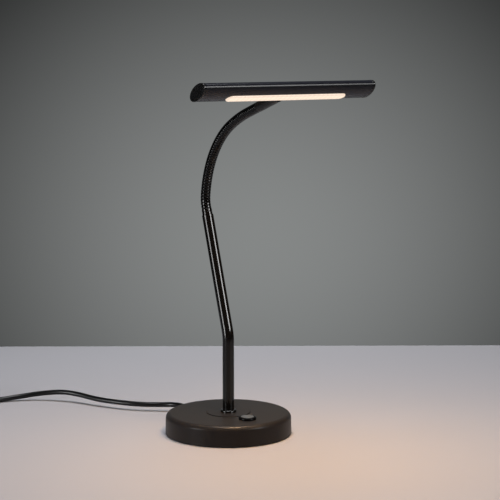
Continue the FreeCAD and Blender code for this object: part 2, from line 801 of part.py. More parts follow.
def make_driver():
    """Driver case, open below, and its board with the large components."""
    y_low, y_high = "window_front + driver_gap", f"{WINDOW_BACK} - driver_gap"
    half = "window_x - driver_gap"
    top = f"{FLOOR_UNDER} + driver_height"
    outer = centred_box("DriverOuter", half, y_low, y_high, FLOOR_UNDER, top)
    inner = centred_box("DriverInner", f"{half} - driver_wall", f"{y_low} + driver_wall",
                        f"{y_high} - driver_wall", FLOOR_UNDER, f"{top} - driver_wall")
    hold(cut("DriverCase", outer, inner), "driver_case")

    edge = "(driver_wall + slide_gap)"
    low = f"{FLOOR_UNDER} + driver_board_rise"
    parts = [centred_box("DriverBoardBlank", f"{half} - {edge}", f"{y_low} + {edge}",
                         f"{y_high} - {edge}", low, f"{low} + dimmer_thick")]
    middle = f"(window_front + {WINDOW_BACK}) / 2"
    core = f"{low} + dimmer_thick"
    parts.append(box("Transformer", "14", "12", "9", "-16", f"{middle} - 6", core))
    parts.append(cylinder("Capacitor", "4", "9", "6", middle, core))
    parts.append(cylinder("SmallCapacitor", "2.5", "6", "15", f"{middle} - 6", core))
    parts.append(box("Regulator", "6", "3", "7", "12", f"{middle} + 5", core))
    hold(fuse("DriverBoard", *parts), "driver_board")


def make_inlet():
    """Strain relief, the cord's inner end, its clamp, the clamp's screws and the inner leads."""
    mouth = "base_radius + relief_length"
    inner_face = "base_radius - 2.8 * cover_wall"
    wall_in, wall_out = "base_radius - 1.4 * cover_wall", "base_radius + thread_gap"
    flange = cylinder("ReliefFlange", "relief_flange_radius", f"{wall_in} - ({inner_face})",
                      "0", inner_face, "cord_height", LYING_BACK)
    neck = cylinder("ReliefNeck", "relief_neck_radius", f"{wall_out} - ({wall_in})",
                    "0", wall_in, "cord_height", LYING_BACK)
    collar = cylinder("ReliefCollar", "relief_collar_radius", "relief_collar_length",
                      "0", wall_out, "cord_height", LYING_BACK)
    taper_low = f"{wall_out} + relief_collar_length"
    taper = cone("ReliefTaper", "relief_root_radius", "relief_end_radius",
                 f"{mouth} - ({taper_low})", "0", taper_low, "cord_height", LYING_BACK)
    bore = cylinder("ReliefBore", "cord_radius + cord_gap", f"{mouth} - ({inner_face})",
                    "0", inner_face, "cord_height", LYING_BACK)
    hold(cut("StrainRelief", fuse("ReliefBlank", flange, neck, collar, taper), bore),
         "strain_relief")

    driver_back = f"{WINDOW_BACK} - driver_gap"
    hold(cylinder("InnerCord", "cord_radius", f"{mouth} - ({driver_back})",
                  "0", driver_back, "cord_height", LYING_BACK), "inner_cord")

    clamp_low = f"{WINDOW_BACK} + driver_gap"
    bar = centred_box("ClampBar", "clamp_half_length", clamp_low, f"{clamp_low} + clamp_width",
                      BALLAST_TOP, f"{BALLAST_TOP} + clamp_thick")
    middle = f"{clamp_low} + clamp_width / 2"
    holes, screws = [], []
    for side in (-1, 1):
        x = f"{side} * clamp_screw_x"
        tag = side + 1
        holes.append(cylinder(f"ClampHole{tag}", "clamp_screw_radius + thread_gap",
                              "clamp_thick", x, middle, BALLAST_TOP))
        shank = cylinder(f"ClampShank{tag}", "clamp_screw_radius",
                         "ballast_tap - cover_lift + clamp_thick", x, middle,
                         f"{BALLAST_TOP} - ballast_tap + cover_lift")
        head = cylinder(f"ClampHead{tag}", "clamp_head_radius", "clamp_head_thick", x, middle,
                        f"{BALLAST_TOP} + clamp_thick")
        screws.append(fuse(f"ClampScrew{tag}", shank, head))
    hold(cut("CordClamp", bar, *holes), "cord_clamp")
    group = doc.addObject("Part::Compound", "ClampScrews")
    group.Links = screws
    hold(group, "clamp_screws")

    start = "-button_reach + switch_radius"
    hold(cylinder("SwitchLead", "switch_lead_radius",
                  f"window_front + driver_gap - ({start})", "-switch_lead_offset", start,
                  f"{FLOOR_UNDER} + switch_lead_radius + slide_gap", LYING_BACK), "switch_lead")


# ---------------------------------------------------------------- stem and gooseneck


def make_stem():
    """Bent tube, the glossy collar at its foot and the lead inside it."""
    lean = math.radians(number("stem_lean"))
    foot = FreeCAD.Vector(0, 0, number(STEM_FOOT))
    bend = FreeCAD.Vector(0, 0, number("stem_bend_height"))
    middle = arm_station(number(f"stem_bend_height - ({STEM_FOOT})")
                         + number("stem_bend_radius") * lean / 2)
    end = arm_station(TUBE_TRAVEL - number("stem_slant"))
    top = arm_station(TUBE_TRAVEL)
    bent = FreeCAD.Vector(0, end[0], end[1])
    wire = Part.Wire([
        Part.LineSegment(foot, bend).toShape(),
        Part.Arc(bend, FreeCAD.Vector(0, middle[0], middle[1]), bent).toShape(),
        Part.LineSegment(bent, FreeCAD.Vector(0, top[0], top[1])).toShape(),
    ])
    outer = rod_along(wire, number("tube_radius"))
    inner = rod_along(wire, number("tube_radius - tube_wall"))
    hold_shape(outer.cut(inner), "stem_tube")

    ring = cylinder("CollarBlank", "collar_radius", "collar_height", z=STEM_FOOT)
    rounded = round_edges("CollarRound", ring, "collar_edge",
                          flat_ring_at(f"{STEM_FOOT} + collar_height"))
    hole = cylinder("CollarHole", "tube_radius + thread_gap", "collar_height", z=STEM_FOOT)
    hold(cut("StemCollar", rounded, hole), "stem_collar")

    lead_low = number(f"{FLOOR_UNDER} + lead_radius + slide_gap")
    root, root_length = span(NECK_START, HINGES[0])
    lead_end = root.multVec(FreeCAD.Vector(0, 0, root_length + BALL_CROWN))
    corner = number("stem_bend_height + stem_bend_radius * tan(stem_lean / 2)")
    swept([(0, number("window_front + driver_gap"), lead_low), (0, 0, lead_low),
           (0, 0, corner), (0, NECK_START[0], NECK_START[1]), tuple(lead_end)],
          number("lead_radius"),
          [number("lead_bend"), number("stem_bend_radius"), 4 * number("lead_bend")], "stem_lead")


def make_ferrule():
    """Turned ferrule: a spigot in the tube, two beads and the cup that holds the neck's root."""
    spigot = number(NIPPLE_RADIUS)
    bore, bead = number("neck_bore_radius"), number("bead_radius")
    foot, length = -number("ferrule_spigot"), number("ferrule_length")
    depth, pitch = number("rib_depth"), number("rib_pitch")
    root = bead - depth
    edges = [line((bore, foot), (spigot, foot)), line((spigot, foot), (spigot, 0))]
    edges += [line((spigot, 0), (root, 0))] if abs(root - spigot) > 1e-6 else []
    edges += ribbed_side(bead, depth, 0, length, pitch)
    edges += [line((root, length), (bore, length)), line((bore, length), (bore, foot))]
    ball = number("neck_radius - rib_depth + thread_gap")
    cup = Part.makeSphere(ball, FreeCAD.Vector(0, 0, number("ferrule_length + cup_rim")))
    hold_shape(turned_solid(edges).cut(cup), "neck_ferrule", along(*arm_station(TUBE_TRAVEL)))


def make_neck():
    """Root piece in the ferrule, the links between the hinges and the tip in the sleeve."""
    placement, length = span(NECK_START, HINGES[0])
    hold_shape(make_link(length, ball_below=True), "neck_root", placement)
    lead_low = number(f"{BALL_RADIUS} + cup_gap")
    for i in range(LINKS):
        placement, length = span(HINGES[i], HINGES[i + 1])
        hold_shape(make_link(length), f"neck_link_{i + 1}", placement)
        lead = Part.makeCylinder(number("lead_radius"), length + BALL_CROWN - lead_low,
                                 FreeCAD.Vector(0, 0, lead_low))
        hold_shape(lead, f"neck_lead_{i + 1}", placement)
    placement, length = span(HINGES[-1], NECK_END)
    spigot = (number("tip_spigot_radius"), number("tip_spigot"))
    hold_shape(make_link(length, plain_top=spigot), "neck_tip", placement)


# ---------------------------------------------------------------- head

BACK_Y, BACK_Z, NECK_HEADING = HEAD_BACK
TILT = math.radians(number("head_tilt"))
WINDOW_LENGTH = "(head_length - 2 * window_margin)"
BOARD_LENGTH = "(head_length - 2 * window_margin - 2 * board_inset)"
CARRIER_LENGTH = "(head_length - 2 * cap_thick - 2 * cap_plug - 2 * carrier_gap)"
HEAD_CENTRE = FreeCAD.Vector(0, BACK_Y - number("head_half_width") * math.cos(TILT),
                             BACK_Z + number("head_half_width") * math.sin(TILT))
HEAD_FRAME = FreeCAD.Placement(HEAD_CENTRE,
                               FreeCAD.Rotation(FreeCAD.Vector(1, 0, 0), -number("head_tilt")))


def in_head(obj, label):
    """Keep a sub-part that was built in the head's own frame."""
    obj.Placement = HEAD_FRAME.multiply(obj.Placement)
    return hold(obj, label)


def neck_rod(name, radius, low, high):
    """A cylinder on the sleeve's axis, between two distances from the neck's end."""
    obj = bind(doc.addObject("Part::Cylinder", name), Radius=radius)
    obj.setExpression("Height", bound(f"({high}) - ({low})"))
    start = along(*NECK_END).multVec(FreeCAD.Vector(0, 0, number(low)))
    world = FreeCAD.Placement(start, along(*NECK_END).Rotation)
    obj.Placement = HEAD_FRAME.inverse().multiply(world)
    return obj


def cavity(name, gap, length):
    """The room inside the housing, smaller all round by a gap."""
    return oval(name, f"head_half_width - head_wall - {gap}", f"head_half_thick - head_wall - {gap}",
                length, f"-({length}) / 2")


def make_housing():
    """Oval housing with its window, and the hole that the sleeve's stud goes through."""
    length = "head_length - 2 * cap_thick"
    outer = oval("HousingOuter", "head_half_width", "head_half_thick", length, f"-({length}) / 2")
    inner = cavity("HousingInner", "0", length)
    window = stadium("HousingWindow", f"{WINDOW_LENGTH} + 2 * window_gap",
                     "window_half_width + window_gap", "-2 * head_half_thick",
                     "2 * head_half_thick")
    stud_hole = neck_rod("StudHole", "sleeve_stud_radius + thread_gap", "sleeve_reach - cap_plug",
                         "sleeve_reach + cap_plug")
    in_head(cut("Housing", outer, inner, window, stud_hole), "head_housing")


def make_caps():
    """The two end caps: an oval plate a little larger than the housing, and a plug inside it."""
    reach = "cap_plug"
    for side, name in ((-1, "cap_left"), (1, "cap_right")):
        plate_low = "-head_length / 2" if side < 0 else "head_length / 2 - cap_thick"
        plate = oval(f"Plate_{name}", "head_half_width + cap_overhang",
                     "head_half_thick + cap_overhang", "cap_thick", plate_low)
        outer_face = side * number("head_length") / 2

        def on_outer_face(edge):
            limits = edge.BoundBox
            return abs(limits.XMin - outer_face) < 1e-4 and abs(limits.XMax - outer_face) < 1e-4

        rounded = round_edges(f"Round_{name}", plate, "cap_edge", on_outer_face)
        plug_low = (f"-head_length / 2 + cap_thick" if side < 0
                    else f"head_length / 2 - cap_thick - {reach}")
        plug = oval(f"Plug_{name}", "head_half_width - head_wall - slide_gap",
                    "head_half_thick - head_wall - slide_gap", reach, plug_low)
        hollow = oval(f"Hollow_{name}", "head_half_width - head_wall - cap_plug_wall",
                      "head_half_thick - head_wall - cap_plug_wall", reach, plug_low)
        in_head(fuse(name, rounded, cut(f"Ring_{name}", plug, hollow)), name)


def make_light():
    """Carrier, board, chips and diffuser inside the housing."""
    slab = centred_box("CarrierSlab", f"{CARRIER_LENGTH} / 2", "-head_half_width",
                       "head_half_width", "-carrier_drop", "carrier_thick - carrier_drop")
    room = cavity("CarrierRoom", "slide_gap", CARRIER_LENGTH)
    notch = centred_box("BlockNotch", "block_half_width + slide_gap",
                        "block_front - slide_gap", "head_half_width",
                        "-head_half_thick", "head_half_thick")
    lead_slot = centred_box("LeadSlot", "lead_radius + bottom_gap", "board_half_width - bottom_gap",
                            "head_half_width", "-head_half_thick", "head_half_thick")
    in_head(cut("LedCarrier", common("CarrierBlank", slab, room), notch, lead_slot),
            "led_carrier")
    board_low = "-carrier_drop - board_thick"
    blank = centred_box("LedBoardBlank", f"{BOARD_LENGTH} / 2", "-board_half_width",
                        "board_half_width", board_low, "-carrier_drop")
    holes = [cylinder(f"BoardHole{side}", "board_hole_radius", "board_thick",
                      f"{side} * ({BOARD_LENGTH} / 2 - 2 * board_hole_radius)", "0", board_low)
             for side in (-1, 1)]
    in_head(cut("LedBoard", blank, *holes), "led_board")

    count = int(number(f"{BOARD_LENGTH} / chip_pitch"))
    chips = []
    for i in range(count):
        middle = f"({i} - {count - 1} / 2) * chip_pitch"
        chips.append(box(f"Chip{i}", "chip_wide", "chip_long", "chip_high",
                         f"{middle} - chip_wide / 2", "-chip_long / 2", f"{board_low} - chip_high"))
    group = doc.addObject("Part::Compound", "LedChips")
    group.Links = chips
    in_head(group, "led_chips")

    face = "-head_half_thick - diffuser_proud"
    inner_low = "head_wall - head_half_thick"
    bar = stadium("DiffuserBar", WINDOW_LENGTH, "window_half_width", face,
                  f"{inner_low} + diffuser_flange_thick - ({face})")
    soft = round_edges("DiffuserRound", bar, "diffuser_edge", flat_ring_at(face))
    flange_box = centred_box("FlangeBox", f"{WINDOW_LENGTH} / 2 + diffuser_flange",
                             "-window_half_width - diffuser_flange",
                             "window_half_width + diffuser_flange", "-head_half_thick",
                             f"{inner_low} + diffuser_flange_thick")
    flange = common("DiffuserFlange", cavity("FlangeRoom", "slide_gap / 2", "head_length"),
                    flange_box)
    in_head(fuse("Diffuser", soft, flange), "diffuser")


def make_neck_joint():
    """Sleeve seated on the housing's back edge, the block inside it and the head's lead."""
    stud_end = "sleeve_reach + head_wall + block_depth"
    barrel = neck_rod("SleeveBarrel", "sleeve_radius", "0", "sleeve_reach + cap_plug")
    split = number("head_half_width + sleeve_reach / 2")
    blunt = round_edges("SleeveRound", barrel, "sleeve_edge",
                        lambda e: len(e.Vertexes) == 1 and e.valueAt(0).y > split)
    outside = oval("SleeveSeat", "head_half_width", "head_half_thick", "head_length",
                   "-head_length / 2")
    shaped = cut("SleeveShaped", blunt, outside)
    stud = neck_rod("SleeveStud", "sleeve_stud_radius", "tip_spigot + cover_wall", stud_end)
    socket = neck_rod("SleeveSocket", "tip_spigot_radius + thread_gap", "0",
                      "tip_spigot + thread_gap")
    bore = neck_rod("SleeveBore", "sleeve_stud_bore", "0", "sleeve_reach + 2 * head_half_width")
    in_head(cut("HeadSleeve", fuse("SleeveBlank", shaped, stud), socket, bore), "head_sleeve")

    block_box = centred_box("BlockBox", "block_half_width", "block_front", "head_half_width",
                            "-head_half_thick", "head_half_thick")
    block = common("BlockBlank", cavity("BlockRoom", "thread_gap", "4 * block_half_width"),
                   block_box)
    tap = neck_rod("BlockTap", "sleeve_stud_radius + thread_gap", "0",
                   "sleeve_reach + 2 * head_half_width")
    in_head(cut("NeckBlock", block, tap), "neck_block")

    first = f"{BALL_RADIUS} + cup_gap - neck_length / {2 * (LINKS + 1)}"
    lead = neck_rod("HeadLead", "lead_radius", first,
                    "sleeve_reach + head_half_width - board_half_width - slide_gap")
    in_head(lead, "head_lead")


# ---------------------------------------------------------------- cord


def make_cord():
    """Mains cord, coil of the put-away length, tail and plug."""
    radius = number("cord_radius")
    coil_centre = FreeCAD.Vector(number("coil_x"), number("coil_y"), 0)
    inner = number("coil_mean_radius - coil_half_width")
    outer = number("coil_mean_radius + coil_half_width")
    height, edge = number("coil_height"), number("coil_edge")
    ring = Part.makeCylinder(outer, height, coil_centre)
    ring = ring.cut(Part.makeCylinder(inner, height, coil_centre))
    rims = [e for e in ring.Edges if len(e.Vertexes) == 1]
    ring = ring.makeFillet(edge, rims)
    hold_shape(ring, "cord_coil")

    envelope = ring.fuse(Part.makeCylinder(inner + edge, height, coil_centre))
    for route, label in ((CORD_ROUTE, "mains_cord"), (TAIL_ROUTE, "cord_tail")):
        radii = cord_radii(route)
        wire, length = rounded_wire(route, radii)
        tube = rod_along(wire, radius)
        full = math.pi * radius**2 * length
        print(f"{label}: length {length:.1f}, arcs", [round(r, 1) for r in radii],
              f"volume {tube.Volume:.0f} against {full:.0f}")
        hold_shape(tube.cut(envelope), label)
    make_plug()


def make_plug():
    """Flat two-pin plug lying beside the coil, in line with the tail."""
    before, end = FreeCAD.Vector(*TAIL_ROUTE[-2]), FreeCAD.Vector(*TAIL_ROUTE[-1])
    heading = math.degrees(math.atan2(end.y - before.y, end.x - before.x))
    base = FreeCAD.Placement(FreeCAD.Vector(end.x, end.y, 0),
                             FreeCAD.Rotation(FreeCAD.Vector(0, 0, 1), heading))
    length, thick = number("plug_length"), number("plug_thick")
    neck, nose = number("plug_width") / 2, number("plug_nose_width") / 2
    corners = [(0, -neck), (length * 0.4, -neck), (length * 0.75, -nose), (length, -nose),
               (length, nose), (length * 0.75, nose), (length * 0.4, neck), (0, neck), (0, -neck)]
    outline = Part.makePolygon([FreeCAD.Vector(x, y, 0) for x, y in corners])
    body = Part.Face(outline).extrude(FreeCAD.Vector(0, 0, thick))
    body = body.makeFillet(number("pin_radius"), body.Edges)
    pins = []
    for side in (-1, 1):
        root = FreeCAD.Vector(length, side * number("pin_spacing") / 2, thick / 2)
        pin = Part.makeCylinder(number("pin_radius"), number("pin_length"), root,
                                FreeCAD.Vector(1, 0, 0))
        tip = pin.Edges[0] if pin.Edges[0].BoundBox.XMin > length + 1 else pin.Edges[2]
        pins.append(pin.makeFillet(number("pin_radius") * 0.6, [tip]))
    hold_shape(body, "plug_body", base)
    hold_shape(Part.makeCompound(pins), "plug_pins", base)


# ---------------------------------------------------------------- whole lamp


def check_and_write():
    """Stop on any failed object or shape, then write one STEP file for each sub-part."""
    doc.recompute()
    failed = [o.Name for o in doc.Objects if {"Invalid", "Error"} & set(o.State)]
    bad = [o.Label for o in SUBPARTS if o.Shape.isNull() or not o.Shape.isValid()]
    if failed or bad:
        raise RuntimeError(f"failed objects {failed}, bad shapes {bad}")
    os.makedirs("parts", exist_ok=True)
    for obj in SUBPARTS:
        obj.Shape.exportStep(os.path.join("parts", obj.Label + ".step"))
    print(len(SUBPARTS), "sub-parts written")


make_base_cover()
make_bottom()
make_ballast()
make_stem_fixing()
make_button()
make_driver()
make_inlet()
make_stem()
make_ferrule()
make_neck()
make_housing()
make_caps()
make_light()
make_neck_joint()
make_cord()
for index, (hinge_y, hinge_z, hinge_heading) in enumerate(HINGES, 1):
    print(f"hinge {index}: y {hinge_y:.5f} z {hinge_z:.5f} heading {hinge_heading:.4f}")
print("head centre", HEAD_CENTRE)
check_and_write()
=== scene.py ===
"""Looks of the piano lamp: visible pieces, finishes, studio, lights and camera.

Everything is in metres in the row frame: the origin is under the middle of the base, +Z is up,
the light bar runs along X, the front is towards -Y and the cord leaves the base towards +Y.
"""

import logging
import math
from collections.abc import Callable, Iterable, Sequence
from dataclasses import dataclass, field, replace
from enum import Enum

import bmesh
import bpy
from mathutils import Matrix, Vector


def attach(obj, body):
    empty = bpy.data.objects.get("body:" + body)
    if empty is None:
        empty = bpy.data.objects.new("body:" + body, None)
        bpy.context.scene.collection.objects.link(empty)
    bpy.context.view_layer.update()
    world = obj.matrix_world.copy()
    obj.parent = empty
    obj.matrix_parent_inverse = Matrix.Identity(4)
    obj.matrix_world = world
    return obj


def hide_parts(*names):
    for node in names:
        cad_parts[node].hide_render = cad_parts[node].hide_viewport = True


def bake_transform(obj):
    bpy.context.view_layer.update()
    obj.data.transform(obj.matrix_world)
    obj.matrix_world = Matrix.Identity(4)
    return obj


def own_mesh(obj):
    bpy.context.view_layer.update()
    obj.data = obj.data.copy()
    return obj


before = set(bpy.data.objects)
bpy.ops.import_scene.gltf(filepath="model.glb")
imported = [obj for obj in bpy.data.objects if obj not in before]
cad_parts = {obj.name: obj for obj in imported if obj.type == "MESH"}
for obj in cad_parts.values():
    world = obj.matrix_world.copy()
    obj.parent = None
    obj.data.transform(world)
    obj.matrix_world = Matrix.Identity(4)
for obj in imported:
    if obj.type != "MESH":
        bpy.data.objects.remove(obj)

LOG = logging.getLogger("piano_lamp")
MM = 0.001
STEEP = 0.3  # a face whose normal rises less than this counts as a wall
RGB = tuple[float, float, float]
Point = tuple[float, float]
Piece = bpy.types.Object
Socket = bpy.types.NodeSocket


class Body(str, Enum):
    """The moving bodies that pieces ride on."""

    STAND = "stand"
    BUTTON = "button"
    HEAD = "head"


# ------------------------------------------------------------------ sizes


@dataclass(frozen=True)
class BaseSizes:
    """Base, plate and button, in millimetres."""

    radius: float = 67.5
    height: float = 22.5
    edge: float = 5.5
    soft: float = 0.35
    draft: float = 0.45
    wall: float = 1.5
    lift: float = 0.6
    bore: float = 5.2
    plate_radius: float = 23.0
    plate_thick: float = 1.5
    plate_gap: float = 0.45
    plate_rise: float = 0.45
    plate_edge: float = 0.15
    # width of the plate's rim band that carries the painted gap shade
    gap_shade_band: float = 0.2
    collar_radius: float = 8.5
    collar_height: float = 2.6
    collar_edge: float = 1.2
    collar_gap: float = 0.05
    button_reach: float = 38.85
    bezel_radius: float = 9.2
    bezel_height: float = 3.0
    bezel_edge: float = 1.4
    bezel_lip: float = 0.3
    bezel_neck: float = 7.9
    bezel_depth: float = 5.5
    button_radius: float = 6.7
    button_gap: float = 0.3
    button_rise: float = 0.3
    button_edge: float = 0.5
    button_flat: float = 6.0
    button_dish: tuple[Point, ...] = ((0.0, 0.25), (2.0, 0.235), (4.0, 0.16), (5.4, 0.05))
    skirt_reach: float = 8.9
    skirt_lip: float = 0.75
    skirt_end: float = 10.1
    pocket_radius: float = 5.3
    pocket_top: float = 3.2
    plunger_radius: float = 1.7
    plunger_reach: float = 12.5


@dataclass(frozen=True)
class ArmSizes:
    """Stem, ferrule and gooseneck, in millimetres and degrees."""

    tube_radius: float = 6.2
    bend_height: float = 98.0
    bend_radius: float = 45.0
    lean: float = 18.8
    slant: float = 125.0
    tube_end_ring: float = 0.6
    ferrule: float = 6.5
    ferrule_bore: float = 2.2
    cup_rim: float = 2.8
    bead_radius: float = 5.55
    bead_depth: float = 0.75
    bead_edge: float = 0.5
    neck_radius: float = 5.3
    neck_lap: float = 0.2
    neck_length: float = 170.0
    arcs: tuple[Point, ...] = ((27.5, 25.3), (102.2, 54.9), (193.0, 10.8))
    rib_pitch: float = 3.33
    rib_depth: float = 0.6
    rings_per_rib: int = 16
    hinges: int = 8
    sleeve_radius: float = 5.5
    sleeve_reach: float = 36.05
    sleeve_lap: float = 1.0
    sleeve_bore: float = 2.0
    sleeve_edge: float = 0.6


@dataclass(frozen=True)
class HeadSizes:
    """Light bar, in millimetres and degrees."""

    tilt: float = 24.9
    length: float = 200.6
    half_width: float = 15.12
    half_thick: float = 7.35
    wall: float = 1.4
    cap_thick: float = 2.8
    cap_overhang: float = 0.15
    cap_edge: float = 0.7
    cap_back: tuple[Point, ...] = ((0.9, 0.0), (0.5, 0.0), (0.15, 0.15), (0.0, 0.45))
    cap_dish: tuple[Point, ...] = ((1.6, 0.0), (1.9, 0.12), (2.4, 0.18))
    window_length: float = 139.0
    window_half: float = 5.6
    window_gap: float = 0.25
    proud: float = 0.85
    diffuser_edge: float = 0.9
    diffuser_root: float = 3.6
    diffuser_flat: float = 2.5
    light_gap: float = 0.4
    chip_pitch: float = 5.4


@dataclass(frozen=True)
class CordSizes:
    """Mains cord, its coil and its strain relief, in millimetres."""

    radius: float = 2.9
    relief_length: float = 22.0
    relief_bore: float = 2.95
    relief_root: float = 4.7
    relief_end: float = 3.5
    relief_skin: float = 0.05
    flange_radius: float = 5.3
    flange_thick: float = 2.1
    grooves: int = 6
    groove_start: float = 4.2
    groove_span: float = 7.0
    groove_depth: float = 0.55
    coil_x: float = -185.0
    coil_y: float = 307.2
    first_radius: float = 44.0
    inner_radius: float = 23.5
    step: float = 5.92
    low_turns: float = 3.5
    high_turns: float = 3.25
    cross_turns: float = 0.5
    layer_gap: float = 0.1
    points_per_turn: int = 16
    tie_turn: float = 35.0
    tie_half: float = 1.6
    tie_thick: float = 0.6
    tie_shoulder: float = 2.5
    tie_slope: float = 4.0
    tie_inset: Point = (0.5, 0.3)
    tie_floors: Point = (0.08, 0.01)


BASE = BaseSizes()
ARM = ArmSizes()
HEAD = HeadSizes()
CORD = CordSizes()

# The cord's control points from the strain relief to the coil, and from the coil to the plug.
CORD_ROUTE = (
    (0.0, 0.0895, 0.0095), (0.0, 0.102, 0.0095), (-0.0045, 0.1147, 0.0086),
    (-0.0132, 0.125, 0.0075), (-0.0324, 0.1384, 0.0074), (-0.0485, 0.1575, 0.0078),
    (-0.0636, 0.1845, 0.0078), (-0.0749, 0.2106, 0.0103), (-0.087, 0.2299, 0.0114),
    (-0.1071, 0.2483, 0.0083), (-0.1277, 0.2584, 0.005), (-0.1503, 0.2632, 0.003),
    (-0.185, 0.2632, 0.003),
)
TAIL_ROUTE = (
    (-0.2283, 0.322, 0.0059), (-0.2305, 0.341, 0.0062), (-0.233, 0.360, 0.0065),
    (-0.2355, 0.377, 0.0065),
)


# ------------------------------------------------------------------ the arm's line


class ArmLine:
    """The line of stem and gooseneck in the YZ plane, as arcs and straights."""

    def __init__(self, arm: ArmSizes, base: BaseSizes) -> None:
        """Lays out the stretches from the foot of the stem to the head.

        Args:
            arm: sizes of stem and gooseneck.
            base: sizes of the base that the stem stands on.
        """
        bend = arm.bend_radius * math.radians(arm.lean)
        arcs = [(radius * math.radians(turn), turn) for radius, turn in arm.arcs]
        curved = sum(length for length, _ in arcs)
        self.foot = base.height + base.plate_rise
        self.tube_end = arm.bend_height - self.foot + bend + arm.slant
        self.neck_start = self.tube_end + arm.ferrule + arm.cup_rim
        self.neck_end = self.neck_start + arm.neck_length
        self.end = self.neck_end + arm.sleeve_reach
        self.stretches = [
            (arm.bend_height - self.foot, 0.0),
            (bend, -arm.lean),
            (arm.slant + arm.ferrule + arm.cup_rim, 0.0),
            *arcs,
            (arm.neck_length + arm.sleeve_reach - curved, 0.0),
        ]

    def station(self, travel: float) -> tuple[Vector, float]:
        """Finds a point of the line.

        Args:
            travel: distance from the foot of the stem, in millimetres.

        Returns:
            The point in metres and the heading, in radians forward of upright.
        """
        y, z, heading = 0.0, self.foot, 0.0
        for length, turn in self.stretches:
            step = min(max(travel, 0.0), length)
            swept = math.radians(turn) * step / length
            half = heading + swept / 2
            chord = step if abs(swept) < 1e-9 else 2 * step / swept * math.sin(swept / 2)
            y -= chord * math.sin(half)
            z += chord * math.cos(half)
            heading += swept
            travel -= length
        return Vector((0, y, z)) * MM, heading

    def matrix(self, travel: float) -> Matrix:
        """Gives the frame at a point of the line, its Z axis along the line."""
        point, heading = self.station(travel)
        return Matrix.Translation(point) @ Matrix.Rotation(heading, 4, "X")


LINE = ArmLine(ARM, BASE)


def head_matrix() -> Matrix:
    """Works out the light bar's frame.

    Returns:
        The frame: X along the bar, Y to its back edge and Z out of its top.
    """
    back, _ = LINE.station(LINE.end)
    tilt = math.radians(HEAD.tilt)
    reach = HEAD.half_width * MM
    centre = back + Vector((0, -reach * math.cos(tilt), reach * math.sin(tilt)))
    return Matrix.Translation(centre) @ Matrix.Rotation(-tilt, 4, "X")


# ------------------------------------------------------------------ mesh tools


def rounded(corners: Sequence[tuple[float, float, float]], steps: int = 8) -> list[Point]:
    """Rounds the corners of an open outline.

    Args:
        corners: (radius, height, rounding) of each corner.
        steps: segments in each rounding.

    Returns:
        The outline's points.
    """
    outline: list[Point] = []
    last = len(corners) - 1
    for i, (x, z, rounding) in enumerate(corners):
        here = Vector((x, z))
        if rounding <= 0 or i in (0, last):
            outline.append((x, z))
            continue
        back = (Vector(corners[i - 1][:2]) - here).normalized()
        ahead = (Vector(corners[i + 1][:2]) - here).normalized()
        half = back.angle(ahead) / 2
        reach = rounding / math.tan(half)
        middle = here + (back + ahead).normalized() * (rounding / math.sin(half))
        start = here + back * reach - middle
        finish = here + ahead * reach - middle
        sweep = start.angle_signed(finish)
        for k in range(steps + 1):
            turned = Matrix.Rotation(-sweep * k / steps, 2) @ start
            outline.append(tuple(middle + turned))
    return outline


def add_object(name: str, data: bpy.types.ID) -> bpy.types.Object:
    """Makes an object from its data and puts it into the scene."""
    obj = bpy.data.objects.new(name, data)
    bpy.context.scene.collection.objects.link(obj)
    return obj


def finish_mesh(name: str, bm: bmesh.types.BMesh, angle: float = 40.0) -> Piece:
    """Turns a bmesh into a smooth-shaded object at the origin.

    Args:
        name: name of the piece.
        bm: the mesh, in metres in the row frame; it is freed.
        angle: edges that turn by more than this many degrees stay sharp.

    Returns:
        The new object.
    """
    bmesh.ops.remove_doubles(bm, verts=bm.verts, dist=1e-7)
    bmesh.ops.recalc_face_normals(bm, faces=bm.faces)
    for face in bm.faces:
        face.smooth = True
    mesh = bpy.data.meshes.new(name)
    bm.to_mesh(mesh)
    bm.free()
    mesh.set_sharp_from_angle(angle=math.radians(angle))
    obj = add_object(name, mesh)
    weighted = obj.modifiers.new("even_shading", "WEIGHTED_NORMAL")
    weighted.keep_sharp = True
    return obj


def lathe(name: str, outline: Sequence[Point], segments: int = 96,
          matrix: Matrix | None = None, closed: bool = False) -> Piece:
    """Turns an outline about the Z axis.

    Args:
        name: name of the piece.
        outline: (radius, height) points in millimetres.
        segments: segments round the axis.
        matrix: where the turned form goes.
        closed: whether the outline closes on itself.

    Returns:
        The new object.
    """
    bm = bmesh.new()
    verts = [bm.verts.new((r * MM, 0, z * MM)) for r, z in outline]
    pairs = list(zip(verts, verts[1:]))
    if closed:
        pairs.append((verts[-1], verts[0]))
    edges = [bm.edges.new(pair) for pair in pairs]
    bmesh.ops.spin(bm, geom=verts + edges, cent=(0, 0, 0), axis=(0, 0, 1), dvec=(0, 0, 0),
                   angle=2 * math.pi, steps=segments, use_merge=True, use_normal_flip=False,
                   use_duplicate=False)
    if matrix:
        bm.transform(matrix)
    return finish_mesh(name, bm)


def loft(name: str, rings: Sequence[Sequence[Vector]], caps: bool = True) -> Piece:
    """Skins closed rings of equal point counts.

    Args:
        name: name of the piece.
        rings: the rings, in metres in the row frame.
        caps: whether the first and last ring are filled.

    Returns:
        The new object.
    """
    bm = bmesh.new()
    loops = []
    for ring in rings:
        verts = [bm.verts.new(p) for p in ring]
        loops.append([bm.edges.new(pair) for pair in zip(verts, [*verts[1:], verts[0]])])
    for low, high in zip(loops, loops[1:]):
        bmesh.ops.bridge_loops(bm, edges=low + high)
    if caps:
        for loop in (loops[0], loops[-1]):
            bmesh.ops.contextual_create(bm, geom=loop)
    return finish_mesh(name, bm)


